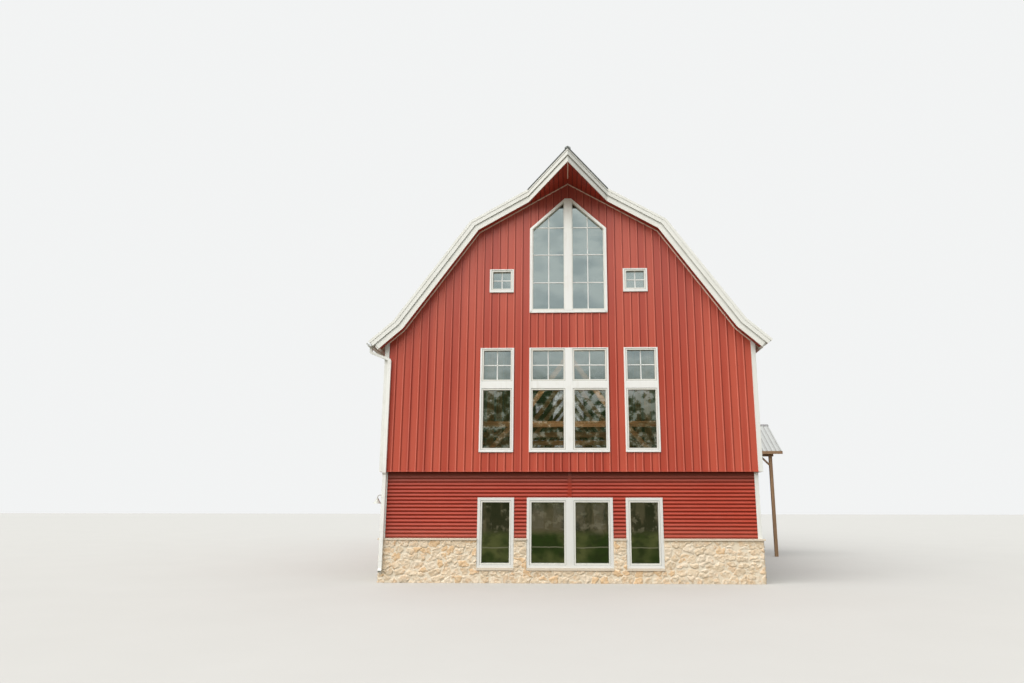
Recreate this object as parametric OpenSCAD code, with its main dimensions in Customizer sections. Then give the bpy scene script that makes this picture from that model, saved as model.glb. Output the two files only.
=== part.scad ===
// Red barn: gambrel roof with flared eaves, hay hood over the front gable,
// ribbed siding above, corrugated siding below, on a stone base.
// Front gable faces -Y. Origin at the middle of the plan, at ground level.

/* [Overall] */
// Width over the upper side walls
barn_w = 10890; // [9000:10:13000]
// Length over the gable walls
barn_l = 30480; // [20000:10:36600]
// Number of timber frame bays
bays = 8; // [4:1:12]

/* [Levels] */
// Thickness of the ground slab
slab_t = 150; // [80:5:300]
// Height of the stone base under its cap
stone_h = 1150; // [900:5:1400]
// Bottom of the upper walls
upper_z = 3045; // [2900:5:3400]
// Thickness of the upper floor
floor_t = 260; // [150:5:400]

/* [Walls] */
// Thickness of the framed walls
wall_t = 200; // [150:5:260]
// Distance that the upper walls stand out over the lower ones
jetty = 115; // [50:5:160]
// Distance that the stone stands out from the lower walls
stone_out = 50; // [40:5:90]
// Distance that the cap stands out from the stone
cap_out = 50; // [30:5:100]
// Thickness of the cap at its edge
cap_t = 45; // [30:1:80]
// Fall of the cap's top
cap_fall = 10; // [5:1:30]

/* [Siding] */
// Spacing of the vertical ribs
rib_pitch = 232.9; // [150:0.1:400]
// Height of a rib
rib_h = 24; // [8:1:30]
// Width of a rib at its foot
rib_foot = 64; // [30:1:90]
// Width of a rib at its top
rib_top = 24; // [8:1:28]
// Spacing of the corrugations
wave_pitch = 102.8; // [60:0.1:160]
// Depth of a corrugation
wave_h = 24; // [8:1:30]
// Width of the joint strip in the corrugated siding
joint_strip_w = 115; // [60:1:160]

/* [Roof form] */
// Height of the soffit line under the ridge
ridge_z = 11890; // [11400:10:12400]
// Slope of the upper roof in degrees
upper_pitch = 30.1; // [22:0.1:35]
// Distance of the upper bend from the middle
knee_x = 2730; // [2200:10:3000]
// Slope of the lower roof in degrees
lower_pitch = 54.5; // [50:0.1:57]
// Distance of the flare's bend inside the side walls
flare_x = 520; // [400:10:900]
// Slope of the flared eaves in degrees
flare_pitch = 41.3; // [30:0.1:45]
// Run of the soffit beyond the side walls
eave_out = 165; // [100:5:300]
// Depth from the soffit line to the top of the metal
roof_depth = 330; // [300:5:450]
// Thickness of the roof deck
deck_t = 200; // [120:5:240]
// Overhang at the gables
rake_out = 300; // [250:5:600]

/* [Roof metal] */
// Spacing of the standing seams
seam_pitch = 406.4; // [250:0.1:600]
// Height of a seam
seam_h = 32; // [15:1:50]
// Width of a seam
seam_w = 18; // [8:1:30]
// Plain margin at the gables
seam_margin = 170; // [160:5:300]
// Thickness of the ridge cap
ridge_cap_t = 40; // [4:1:60]
// Width of one wing of the ridge cap
ridge_cap_w = 100; // [80:5:300]
// Distance that the metal runs past the eave fascia
drip = 100; // [20:5:140]
// Thickness of the metal at the eaves
metal_t = 10; // [5:1:20]

/* [Hay hood] */
// Half the width of the hood at its root
hood_half = 1200; // [900:10:1500]
// Distance that its tip stands out from the rake
hood_out = 1297; // [900:1:1700]

/* [Trim] */
// Thickness of the boards
board_t = 30; // [20:1:40]
// Distance that the eave fascias stand out past the ends of the rake fascias
eave_lap = 45; // [20:1:60]
// Distance that the rake boards run past the ends of the rake fascias
board_run = 75; // [50:1:90]
// Distance that the fascias hang below the soffit line
fascia_drop = 20; // [5:1:30]
// Depth from the soffit line to the foot of the upper rake board
board_foot = 150; // [120:5:220]
// Depth from the soffit line to the foot of the metal rake cap
cap_foot = 270; // [240:5:290]
// Thickness of the metal rake cap
rake_cap_t = 12; // [6:1:25]
// Width of the cap's flange on the roof
flange_w = 120; // [60:5:150]
// Thickness of the soffit panels
soffit_t = 20; // [12:1:40]
// Width of the frieze strip
frieze_w = 30; // [30:1:90]
// Thickness of the frieze strip
frieze_t = 24; // [21:1:40]
// Width of the corner trims
corner_w = 105; // [80:5:160]
// Width of the corner trims of the lower walls
low_corner_w = 90; // [80:5:160]
// Thickness of the corner trims
corner_t = 25; // [21:1:40]
// Height of the flashing at the foot of the upper walls
flashing_h = 45; // [25:1:80]
// Thickness of that flashing
flashing_t = 24; // [21:1:40]

/* [Windows] */
// Width of the casing around a window
casing_w = 55; // [40:1:80]
// Width of the casing around a lower window
low_casing_w = 85; // [50:1:100]
// Distance that the casing stands out from the siding's pan
casing_out = 34; // [24:1:50]
// Face width of the sash frames
sash_w = 42; // [25:1:60]
// Distance that the upper panes sit above the middle of their frames
light_lift = 22; // [0:1:30]
// Depth of the frames in the wall
frame_d = 130; // [90:5:140]
// Gap between a frame and its rough opening
window_fit = 2; // [1:0.5:6]
// Thickness of the glass
glass_t = 24; // [6:1:30]
// Distance of the glass behind the wall's face
glass_in = 60; // [40:1:90]
// Width of a single window
single_w = 998; // [800:2:1100]
// Width of the double windows
double_w = 2330; // [2100:2:2450]
// Width of the post between the halves of a double window
mullion_w = 230; // [160:2:300]
// Distance of a single window's middle from the barn's middle
single_x = 2114; // [2060:2:2400]
// Width of a single lower window
low_single_w = 1042; // [850:2:1150]
// Width of the double lower windows
low_double_w = 2440; // [2200:2:2550]
// Distance of a single lower window's middle from the barn's middle
low_single_x = 2104; // [2080:2:2400]
// Foot of the lower windows
low_z = 400; // [300:5:500]
// Height of the lower windows
low_h = 1925; // [1800:5:2200]
// Foot of the middle windows
mid_z = 3597; // [3500:1:3900]
// Height of the middle windows
mid_h = 3067; // [2600:1:3200]
// Height of the rail under the transom lights, from the window's foot
rail_z = 1807; // [1500:1:2100]
// Height of that rail
rail_h = 309; // [100:1:340]
// Size of the small square windows
small_s = 735; // [600:1:800]
// Foot of the small windows
small_z = 8372; // [8200:2:8600]
// Distance of a small window's middle from the barn's middle
small_x = 2010; // [1800:2:2100]
// Foot of the pointed window
point_z = 7735; // [7600:1:8000]
// Height of its straight sides
point_h = 2671; // [2200:1:2750]
// Rise of its head, to the point where its slopes would meet
point_rise = 1069; // [700:1:1100]
// Half the width of the flat on its head
point_flat = 100; // [40:5:200]
// Height of the windows on the long sides
side_h = 2010; // [1600:5:2200]
// Share of the free height under the upper side windows
side_share = 0.333; // [0.2:0.001:0.6]
// Distance that the sills stand out from the stone
sill_out = 45; // [20:1:80]
// Height of the sills
sill_h = 60; // [30:1:100]

/* [Timber frame] */
// Distance of the posts from the barn's middle
post_x = 3100; // [2850:10:3600]
// Side of a post
post_s = 250; // [150:5:300]
// Underside of the tie beams
tie_z = 4715; // [4500:5:5200]
// Height and width of a tie beam
tie_s = 195; // [120:5:260]
// Foot of a strut on the tie beam, from the middle
strut_x = 1800; // [1400:10:2200]
// Rise of the struts from the tie beam
strut_rise = 2435; // [1800:5:2800]
// Side of the struts and braces
strut_s = 160; // [100:5:200]
// Reach of a knee brace along the tie beam
brace_run = 1075; // [700:5:1300]
// Drop of a knee brace down the post
brace_drop = 1180; // [800:5:1250]
// Depth of the purlins and the ridge beam
purlin_h = 300; // [200:5:400]

/* [Porch] */
// Bay that the porch stands in, counted from the front
porch_bay = 4; // [2:1:4]
// Half the width of the porch over its eaves
porch_half = 2040; // [1700:10:2200]
// Distance that the porch roof reaches from the side wall
porch_out = 3855; // [2500:5:4200]
// Underside of the porch's roof deck at the eaves
porch_eave_z = 4330; // [4100:5:4700]
// Slope of the porch roof in degrees
porch_pitch = 33.7; // [25:0.1:36]
// Thickness of the porch roof
porch_roof_t = 90; // [60:5:140]
// Spacing of the ribs on the porch roof
porch_rib_pitch = 190; // [120:1:300]
// Height of those ribs
porch_rib_h = 22; // [10:1:30]
// Height of the porch's eave boards
porch_board_h = 125; // [90:5:160]
// Side of the porch posts
porch_post_s = 130; // [120:5:220]
// Distance of the porch posts from the roof's outer edge
porch_post_in = 410; // [200:5:600]
// Height of the porch beams
porch_beam_h = 230; // [160:5:300]
// Distance of the beams' middle inside the porch's eaves
porch_beam_in = 250; // [180:5:500]
// Distance that the beams run past the posts
porch_beam_past = 60; // [0:5:200]
// Reach of the porch braces
porch_brace_run = 400; // [400:5:800]
// Width of the porch braces, level
porch_brace_w = 90; // [80:5:200]
// Thickness of the porch braces
porch_brace_t = 100; // [60:5:150]
// Width of the doorway
door_w = 1830; // [1500:5:2100]
// Height of the doorway over the slab
door_h = 2100; // [1950:5:2300]
// Distance of the doors behind the lower wall's face
door_in = 60; // [40:5:120]
// Thickness of the doors
door_t = 60; // [40:1:80]
// Width of the stiles and rails of the doors
door_stile = 120; // [90:5:160]
// Depth of the door panels
door_panel_d = 15; // [5:1:20]
// Height of the doors' middle rail
door_rail_z = 900; // [700:5:1100]
// Gap around a door
door_gap = 2; // [1:0.5:5]

/* [Drainage and lamp] */
// Width of the gutters
gutter_w = 155; // [90:1:180]
// Depth of the gutters
gutter_h = 110; // [80:1:140]
// Thickness of the gutters' wall
gutter_t = 6; // [4:1:10]
// Distance of the gutter's rim below the top of the metal, square to it
gutter_drop = 60; // [45:1:90]
// Width of the gutter's foot, as a share of its width
gutter_foot = 0.7; // [0.5:0.01:0.9]
// Height of the gutter's lip, as a share of its depth
gutter_lip = 0.4; // [0.2:0.01:0.6]
// Width of the downspouts
spout_s = 100; // [60:1:110]
// Depth of the downspouts
spout_d = 80; // [50:1:100]
// Thickness of their slanting heads
spout_head_t = 72; // [50:1:100]
// Bevel on the bends of the heads
spout_round = 30; // [10:1:40]
// Distance of the downspouts from the barn's corners
spout_in = 85; // [70:1:95]
// Fall of the downspouts' slanting heads
spout_fall = 230; // [120:5:300]
// Distance of the slanting head below the gutter
spout_neck = 150; // [110:5:200]
// Reach of the elbow at the foot
spout_kick = 70; // [30:5:120]
// Height of the bend under the upper wall
spout_bend = 60; // [40:5:100]
// Foot of the downspouts over the ground
spout_z = 280; // [150:5:400]
// Height of the lamp's arm
lamp_z = 2403; // [2200:1:2600]
// Distance of the lamp from the front gable
lamp_y = 700; // [300:10:1200]
// Distance of the shade's middle from the siding
lamp_out = 311; // [220:1:400]
// Diameter of the lamp's shade
lamp_d = 260; // [180:5:300]
// Height of the shade
shade_h = 150; // [120:5:220]
// Thickness of the shade
shade_t = 6; // [3:1:10]
// Power of the shade's curve, 1 for a straight cone
shade_curve = 1.6; // [1:0.1:2.4]
// Diameter of the shade's crown
shade_neck_d = 76; // [50:1:100]
// Height of the neck over the crown
shade_neck = 30; // [15:1:60]
// Diameter of the arm
arm_d = 26; // [16:1:36]
// Radius of the arm's bend
lamp_bend = 70; // [50:1:110]
// Diameter of the wall plate
plate_d = 130; // [90:1:160]
// Thickness of the wall plate
plate_t = 24; // [12:1:40]

/* [Hidden] */

RED = "firebrick";
TRIM = "ghostwhite";
STONE = "tan";
METAL = "lightsteelblue";
SHADE = "maroon";
TIMBER = "peru";
GLASS = "slategray";

big = 40000;
hw = barn_w / 2;
yf = -barn_l / 2;
lower_hw = hw - jetty;
lower_yf = yf + jetty;
stone_hw = lower_hw + stone_out;
stone_yf = lower_yf - stone_out;
cap_top = stone_h + cap_t + cap_fall;
past = 500;
floor_z = upper_z + floor_t;
deck_foot = roof_depth - deck_t;
bay_l = barn_l / bays;
side_x = [for (i = [0 : bays - 1]) yf + (i + 0.5) * bay_l];
porch_y = yf + (porch_bay - 0.5) * bay_l;

// Roof profile: a point on each bend, at depth t outside the soffit line
knee = [knee_x, ridge_z - knee_x * tan(upper_pitch)];
bend_x = hw - flare_x;
flare = [bend_x, knee[1] - (bend_x - knee_x) * tan(lower_pitch)];
eave_x = hw + eave_out;
eave = [eave_x, flare[1] - (eave_x - bend_x) * tan(flare_pitch)];
function mitre(p, a, b, t) = p + t / cos((b - a) / 2) * [sin((a + b) / 2), cos((a + b) / 2)];
function ridge_at(t) = [0, ridge_z + t / cos(upper_pitch)];
function knee_at(t) = mitre(knee, upper_pitch, lower_pitch, t);
function flare_at(t) = mitre(flare, lower_pitch, flare_pitch, t);
function eave_at(t, run = 0) = eave + t * [sin(flare_pitch), cos(flare_pitch)]
    + run * [cos(flare_pitch), -sin(flare_pitch)];
function flare_line_z(x, t) = flare_at(t)[1] - (x - flare_at(t)[0]) * tan(flare_pitch);
function lower_line_z(x, t) = knee_at(t)[1] - (x - knee_at(t)[0]) * tan(lower_pitch);
function half_line(t, run = 0) = [ridge_at(t), knee_at(t), flare_at(t), eave_at(t, run)];
function flip(points) = [for (i = [len(points) - 1 : -1 : 0]) [-points[i][0], points[i][1]]];
function full_line(t, run = 0) = concat(flip(half_line(t, run)), half_line(t, run));
function reversed(points) = [for (i = [len(points) - 1 : -1 : 0]) points[i]];

// Plan of the rake: the line of its face, moved out by s
hood_len = norm([hood_half, hood_out]);
hood_n = [hood_out, -hood_half] / hood_len;
rake_y = yf - rake_out;
function hood_root(s) = [(hood_n * [hood_half, rake_y] + s - hood_n[1] * (rake_y - s)) / hood_n[0],
    rake_y - s];
function hood_tip(s) = [0, (hood_n * [hood_half, rake_y] + s) / hood_n[1]];
function rake_path(s) = [[-big, rake_y - s], [-hood_root(s)[0], rake_y - s], hood_tip(s),
    hood_root(s), [big, rake_y - s]];

// Solids from outlines
module along_y(y0, y1) {
    translate([0, y1, 0]) rotate([90, 0, 0]) linear_extrude(y1 - y0) children();
}
module along_x(x0, x1) {
    translate([x0, 0, 0]) rotate([90, 0, 90]) linear_extrude(x1 - x0) children();
}
module both_sides() {
    children();
    mirror([1, 0, 0]) children();
}
module both_ends() {
    children();
    mirror([0, 1, 0]) children();
}
module box(x0, x1, y0, y1, z0, z1) {
    translate([x0, y0, z0]) cube([x1 - x0, y1 - y0, z1 - z0]);
}

// Outlines of the siding
module rib_outline(from, to, back, margin) {
    each_way = floor(((to - from) / 2 - margin - rib_foot / 2) / rib_pitch);
    polygon(concat([[from, 0]],
        [for (i = [-each_way : each_way], p = [[-rib_foot / 2, 0], [-rib_top / 2, -rib_h],
            [rib_top / 2, -rib_h], [rib_foot / 2, 0]])
            [(from + to) / 2 + i * rib_pitch + p[0], p[1]]],
        [[to, 0], [to, back], [from, back]]));
}
module wave_outline(back) {
    waves = round((upper_z - cap_top) / wave_pitch);
    steps = waves * 6;
    polygon(concat([[back, stone_h], [0, stone_h]], [for (i = [0 : steps])
        [-wave_h * (0.5 - 0.5 * cos(360 * waves * i / steps)), cap_top + (upper_z - cap_top) * i / steps]],
        [[back, upper_z]]));
}

// Windows: outlines in the plane of their wall
module light_box(x, z, w, h, grow) {
    translate([x - w / 2 - grow, z - grow]) square([w + 2 * grow, h + 2 * grow]);
}
point_slope = point_rise / (double_w / 2);
module pointed(grow) {
    w = double_w / 2 + grow;
    shoulder = point_z + point_h + grow * (norm([1, point_slope]) - point_slope);
    top = point_z + point_h + point_rise - point_flat * point_slope + grow;
    flat = w - (top - shoulder) / point_slope;
    polygon([[-w, point_z - grow], [w, point_z - grow], [w, shoulder], [flat, top], [-flat, top],
        [-w, shoulder]]);
}
module small(x, grow) {
    light_box(x, small_z, small_s, small_s, grow);
}
module low_row(grow) {
    for (x = [-low_single_x, low_single_x]) light_box(x, low_z, low_single_w, low_h, grow);
    light_box(0, low_z, low_double_w, low_h, grow);
}
module gable_rows(grow) {
    for (x = [-single_x, single_x]) light_box(x, mid_z, single_w, mid_h, grow);
    light_box(0, mid_z, double_w, mid_h, grow);
    for (x = [-small_x, small_x]) small(x, grow);
    pointed(grow);
}
module side_low_row(grow, skip) {
    for (y = side_x) if (!skip || y != porch_y) light_box(y, low_z, low_single_w, low_h, grow);
}
module side_high_row(grow, skip) {
    z = upper_z + side_share * (flare_line_z(hw, 0) - upper_z - side_h);
    for (y = side_x) if (!skip || y != porch_y) light_box(y, z, single_w, side_h, grow);
}
module doorway(grow) {
    translate([porch_y - door_w / 2 - grow, slab_t])
        square([door_w + 2 * grow, door_h + grow]);
}

// Base
module ground_slab() {
    color("gray") box(-lower_hw + wall_t, lower_hw - wall_t, lower_yf + wall_t, -lower_yf - wall_t,
        0, slab_t);
}
module gable_stone_bases() {
    color(STONE) both_ends() difference() {
        box(-stone_hw, stone_hw, stone_yf, lower_yf + wall_t, 0, stone_h);
        along_y(stone_yf - 1, lower_yf + wall_t + 1) low_row(-low_casing_w);
        along_y(stone_yf - 1, lower_yf) low_row(0);
    }
}
module side_stone(skip) {
    difference() {
        box(lower_hw - wall_t, stone_hw, lower_yf + wall_t, -lower_yf - wall_t, 0, stone_h);
        along_x(lower_hw - wall_t - 1, stone_hw + 1) side_low_row(-low_casing_w, skip);
        along_x(lower_hw, stone_hw + 1) side_low_row(0, skip);
        if (skip) along_x(lower_hw - wall_t - 1, stone_hw + 1) doorway(0);
        if (skip) along_x(lower_hw, stone_hw + 1) doorway(casing_w);
    }
}
module side_stone_bases() {
    color(STONE) {
        side_stone(true);
        mirror([1, 0, 0]) side_stone(false);
    }
}
module cap_outline() {
    polygon([[0, 0], [0, cap_t + cap_fall], [stone_out + cap_out, cap_t], [stone_out + cap_out, 0]]);
}
module stone_caps() {
    ends = stone_hw + cap_out;
    color("wheat") {
        both_ends() difference() {
            translate([-ends, lower_yf, stone_h]) rotate([90, 0, 90]) mirror([1, 0])
                linear_extrude(2 * ends) cap_outline();
            along_y(lower_yf - past, lower_yf + 1) low_row(0);
        }
        for (side = [1, -1]) on_side(side) difference() {
            translate([lower_hw, -lower_yf, stone_h]) rotate([90, 0, 0])
                linear_extrude(-2 * lower_yf) cap_outline();
            along_x(lower_hw - 1, stone_hw + past) side_low_row(0, side == 1);
            if (side == 1) along_x(lower_hw - 1, stone_hw + past) doorway(casing_w);
        }
        both_ends() along_y(stone_yf - sill_out, stone_yf) {
            for (x = [-low_single_x, low_single_x]) light_box(x, low_z - sill_h, low_single_w, sill_h, 0);
            light_box(0, low_z - sill_h, low_double_w, sill_h, 0);
        }
    }
}
module on_side(side) {
    if (side > 0) children();
    else mirror([1, 0, 0]) children();
}

// Lower walls
module gable_lower_wall() {
    difference() {
        along_x(-lower_hw, lower_hw) translate([lower_yf, 0]) wave_outline(wall_t);
        along_y(lower_yf - wave_h - 1, lower_yf) {
            low_row(0);
            for (x = [-1, 1]) translate([x * (lower_hw - low_corner_w / 2) - low_corner_w / 2, stone_h - 1])
                square([low_corner_w, upper_z]);
        }
        along_y(lower_yf - 1, lower_yf + wall_t + 1) low_row(-low_casing_w);
    }
}
module front_lower_wall() {
    strip_z = low_z + low_h;
    color(RED) {
        gable_lower_wall();
        box(-joint_strip_w / 2, joint_strip_w / 2, lower_yf - casing_out, lower_yf + 1, strip_z, upper_z);
    }
}
module rear_lower_wall() {
    color(RED) mirror([0, 1, 0]) gable_lower_wall();
}
module side_lower_wall(skip) {
    y0 = lower_yf + wall_t;
    difference() {
        along_y(y0, -y0) translate([lower_hw, 0]) mirror([1, 0]) wave_outline(wall_t);
        along_x(lower_hw, lower_hw + wave_h + 1) {
            side_low_row(0, skip);
            if (skip) doorway(casing_w);
        }
        along_x(lower_hw - wall_t - 1, lower_hw + 1) {
            side_low_row(-low_casing_w, skip);
            if (skip) doorway(0);
        }
    }
}
module left_lower_wall() {
    color(RED) mirror([1, 0, 0]) side_lower_wall(false);
}
module right_lower_wall() {
    color(RED) side_lower_wall(true);
}

// Upper floor and walls
module upper_floor() {
    color(TIMBER) box(-hw + wall_t, hw - wall_t, yf + wall_t, -yf - wall_t, upper_z, floor_z);
}
module gable_outline() {
    side = [[hw, flare_line_z(hw, deck_foot)], [hw, upper_z]];
    inner = [ridge_at(deck_foot), knee_at(deck_foot), flare_at(deck_foot)];
    half = concat(inner, side);
    polygon(concat(flip(half), half));
}
module above_frieze() {
    line = full_line(-frieze_w, past);
    polygon(concat(line, [[big, ridge_z * 2], [-big, ridge_z * 2]]));
}
module gable_wall() {
    difference() {
        intersection() {
            translate([0, yf, upper_z]) linear_extrude(ridge_z)
                rib_outline(-hw, hw, wall_t, corner_w);
            along_y(yf - rib_h - 1, yf + wall_t + 1) gable_outline();
        }
        along_y(yf - rib_h - 2, yf) {
            gable_rows(0);
            above_frieze();
            for (x = [-1, 1]) translate([x * (hw - corner_w / 2) - corner_w / 2, 0])
                square([corner_w, ridge_z]);
            translate([-big, 0]) square([2 * big, upper_z + flashing_h]);
        }
        along_y(yf - 1, yf + wall_t + 2) gable_rows(-casing_w);
    }
}
module front_gable_wall() {
    color(RED) gable_wall();
}
module rear_gable_wall() {
    color(RED) mirror([0, 1, 0]) gable_wall();
}
module side_upper_wall(skip) {
    y0 = yf + wall_t;
    top = [for (x = [hw, hw - wall_t]) [x, flare_line_z(x, deck_foot)]];
    rib_top_z = flare_line_z(hw, 0) - frieze_w;
    difference() {
        intersection() {
            translate([hw, 0, upper_z]) rotate([0, 0, 90]) linear_extrude(ridge_z)
                rib_outline(y0, -y0, wall_t, 0);
            along_y(y0 - 1, -y0 + 1)
                polygon(concat([[hw - wall_t, upper_z], [hw + rib_h, upper_z],
                    [hw + rib_h, rib_top_z], [hw, rib_top_z]], top));
        }
        along_x(hw, hw + rib_h + 1) {
            side_high_row(0, skip);
            translate([-big, 0]) square([2 * big, upper_z + flashing_h]);
        }
        along_x(hw - wall_t - 1, hw + 1) side_high_row(-casing_w, skip);
    }
}
module left_upper_wall() {
    color(RED) mirror([1, 0, 0]) side_upper_wall(false);
}
module right_upper_wall() {
    color(RED) side_upper_wall(true);
}

// Roof panels, cut to their mitres
roof_y0 = rake_y + board_t;
module seam_outline(y0, y1) {
    span = y1 - y0 - 2 * seam_margin;
    count = floor(span / seam_pitch) + 1;
    start = (y0 + y1) / 2 - (count - 1) * seam_pitch / 2;
    polygon(concat([[y0, deck_foot], [y0, roof_depth]],
        [for (i = [0 : count - 1], p = [[-seam_w / 2, 0], [-seam_w / 2, seam_h],
            [seam_w / 2, seam_h], [seam_w / 2, 0]]) [start + i * seam_pitch + p[0], roof_depth + p[1]]],
        [[y1, roof_depth], [y1, deck_foot]]));
}
module roof_panel(foot, pitch, cut) {
    intersection() {
        translate([foot[0], 0, foot[1]]) rotate([0, pitch, 0]) along_x(-barn_w, barn_w)
            seam_outline(roof_y0, -roof_y0);
        along_y(roof_y0 - 1, -roof_y0 + 1) polygon(cut);
    }
}
low_t = deck_foot - 1;
high_t = roof_depth + seam_h + 1;
module upper_roof() {
    roof_panel(knee, upper_pitch, [ridge_at(low_t), ridge_at(high_t), knee_at(high_t), knee_at(low_t)]);
}
module right_upper_roof() {
    color(METAL) upper_roof();
}
module left_upper_roof() {
    color(METAL) mirror([1, 0, 0]) upper_roof();
}
module lower_roofs() {
    color(METAL) both_sides() roof_panel(knee, lower_pitch,
        [knee_at(low_t), knee_at(high_t), flare_at(high_t), flare_at(low_t)]);
}
skin = roof_depth - metal_t;
module flared_roofs() {
    color(METAL) both_sides() roof_panel(flare, flare_pitch,
        [flare_at(low_t), flare_at(high_t), eave_at(high_t, drip), eave_at(skin, drip),
            eave_at(skin, -board_t), eave_at(low_t, -board_t)]);
}

// Pieces that follow the rake: a plan band between s0 and s1, a depth band between t0 and t1
module rake_plan(s0, s1) {
    polygon(concat(rake_path(s1), reversed(rake_path(s0))));
}
module rake_piece(s0, s1, t0, t1, run = 0) {
    intersection() {
        linear_extrude(2 * ridge_z) rake_plan(s0, s1);
        along_y(rake_y - hood_out * 2, yf)
            polygon(concat(full_line(t1, run), reversed(full_line(t0, run))));
    }
}
module plain_rake_piece(s0, s1, t0, t1, run = 0) {
    mirror([0, 1, 0]) along_y(rake_y - s1, rake_y - s0)
        polygon(concat(full_line(t1, run), reversed(full_line(t0, run))));
}
module hay_hood() {
    color(METAL) intersection() {
        linear_extrude(2 * ridge_z)
            polygon([[-hood_root(-board_t)[0], roof_y0], hood_tip(-board_t), hood_root(-board_t)]);
        along_y(rake_y - hood_out * 2, yf)
            polygon(concat(full_line(roof_depth), reversed(full_line(deck_foot))));
    }
}
module ridge_cap() {
    t0 = roof_depth + seam_h;
    t1 = t0 + ridge_cap_t;
    wing = ridge_cap_w * [cos(upper_pitch), -sin(upper_pitch)];
    half = [ridge_at(t1), ridge_at(t1) + wing, ridge_at(t0) + wing, ridge_at(t0)];
    color("gray") along_y(hood_tip(0)[1], -rake_y)
        polygon([half[0], half[1], half[2], half[3],
            [-half[2][0], half[2][1]], [-half[1][0], half[1][1]]]);
}
module rake_soffits() {
    color(SHADE) {
        intersection() {
            linear_extrude(2 * ridge_z)
                polygon(concat(rake_path(-board_t), [[big, yf], [-big, yf]]));
            along_y(rake_y - hood_out * 2, yf)
                polygon(concat(full_line(soffit_t, -board_t), reversed(full_line(0, -board_t))));
        }
        plain_rake_piece(-rake_out, -board_t, 0, soffit_t, -board_t);
    }
}
module eave_soffits() {
    color(SHADE) both_sides() along_y(yf, -yf)
        polygon([[hw, flare_line_z(hw, 0)], [hw, flare_line_z(hw, soffit_t)],
            eave_at(soffit_t, -board_t), eave_at(0, -board_t)]);
}
module rake_fascias() {
    color(TRIM) {
        rake_piece(-board_t, 0, -fascia_drop, roof_depth);
        plain_rake_piece(-board_t, 0, -fascia_drop, roof_depth);
    }
}
module rake_boards() {
    color(TRIM) {
        rake_piece(0, board_t, board_foot, roof_depth, board_run);
        plain_rake_piece(0, board_t, board_foot, roof_depth, board_run);
    }
}
module rake_caps() {
    out = board_t + rake_cap_t;
    top = roof_depth + rake_cap_t;
    color(METAL) {
        rake_piece(board_t, out, cap_foot, top, drip);
        rake_piece(-board_t - flange_w, out, roof_depth, top, drip);
        plain_rake_piece(board_t, out, cap_foot, top, drip);
        plain_rake_piece(-board_t - flange_w, out, roof_depth, top, drip);
    }
}
module eave_fascias() {
    color(TRIM) both_sides() along_y(roof_y0, -roof_y0)
        polygon([eave_at(-fascia_drop, -board_t), eave_at(skin, -board_t), eave_at(skin, eave_lap),
            eave_at(-fascia_drop, eave_lap)]);
}

// Gutters and downspouts
gutter_top = eave_at(roof_depth - gutter_drop, eave_lap);
gutter_x = gutter_top[0];
gutter_z = gutter_top[1] - gutter_h;
module gutter_outline(t) {
    foot = gutter_x + gutter_w * gutter_foot - t / 2;
    lip = gutter_x + gutter_w - t;
    polygon([[gutter_x + t, gutter_top[1] + t / gutter_t], [gutter_x + t, gutter_z + t], [foot, gutter_z + t],
        [lip, gutter_top[1] - gutter_h * gutter_lip], [lip, gutter_top[1] + t / gutter_t]]);
}
module gutters() {
    color(TRIM) mirror([1, 0, 0]) along_y(roof_y0, -roof_y0) difference() {
        gutter_outline(0);
        gutter_outline(gutter_t);
    }
}
spout_x = hw - spout_in - spout_s / 2;
spout_back = yf - corner_t;
spout_back_low = stone_yf - cap_out;
head_x = gutter_x + gutter_w * gutter_foot / 2;
head_z = gutter_z - spout_neck;
module spout_head() {
    slope = spout_fall / (head_x - spout_x);
    lean = (head_x - spout_x) / (norm([head_x - spout_x, spout_fall]) + spout_fall);
    thin = spout_head_t / 2;
    wide = spout_s / 2;
    foot = head_z - spout_fall - spout_s;
    under = head_z - thin * lean;
    over = head_z + thin * lean;
    top = over - (head_x - thin - spout_x + wide) * slope;
    polygon([[head_x + thin, gutter_z], [head_x + thin, under + spout_round],
        [head_x + thin - spout_round, under - spout_round * slope],
        [spout_x + wide, under - (head_x + thin - spout_x - wide) * slope], [spout_x + wide, foot],
        [spout_x - wide, foot], [spout_x - wide, top - spout_round],
        [spout_x - wide + spout_round, top + spout_round * slope], [head_x - thin, over],
        [head_x - thin, gutter_z]]);
}
module spout_side() {
    z1 = upper_z - corner_t;
    z2 = z1 - spout_bend;
    z3 = spout_z + spout_kick;
    front = spout_back_low - spout_d;
    mouth = spout_d / sqrt(2);
    polygon([[spout_back, head_z - spout_fall - spout_s], [spout_back, z1], [spout_back_low, z2],
        [spout_back_low, z3], [spout_back_low - spout_kick, spout_z],
        [spout_back_low - spout_kick - mouth, spout_z + mouth], [front, z3 + spout_d * tan(22.5)],
        [front, z2], [spout_back - spout_d, z1], [spout_back - spout_d, head_z - spout_fall - spout_s]]);
}
module spout_mouth() {
    translate([spout_back_low - spout_kick, spout_z]) rotate(-45)
        translate([-spout_d + gutter_t, -1]) square([spout_d - 2 * gutter_t, spout_kick]);
}
module downspouts() {
    color(TRIM) mirror([1, 0, 0]) both_ends() {
        along_y(spout_back - spout_d, spout_back) spout_head();
        difference() {
            along_x(spout_x - spout_s / 2, spout_x + spout_s / 2) spout_side();
            along_x(spout_x - spout_s / 2 + gutter_t, spout_x + spout_s / 2 - gutter_t) spout_mouth();
        }
    }
}

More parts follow.
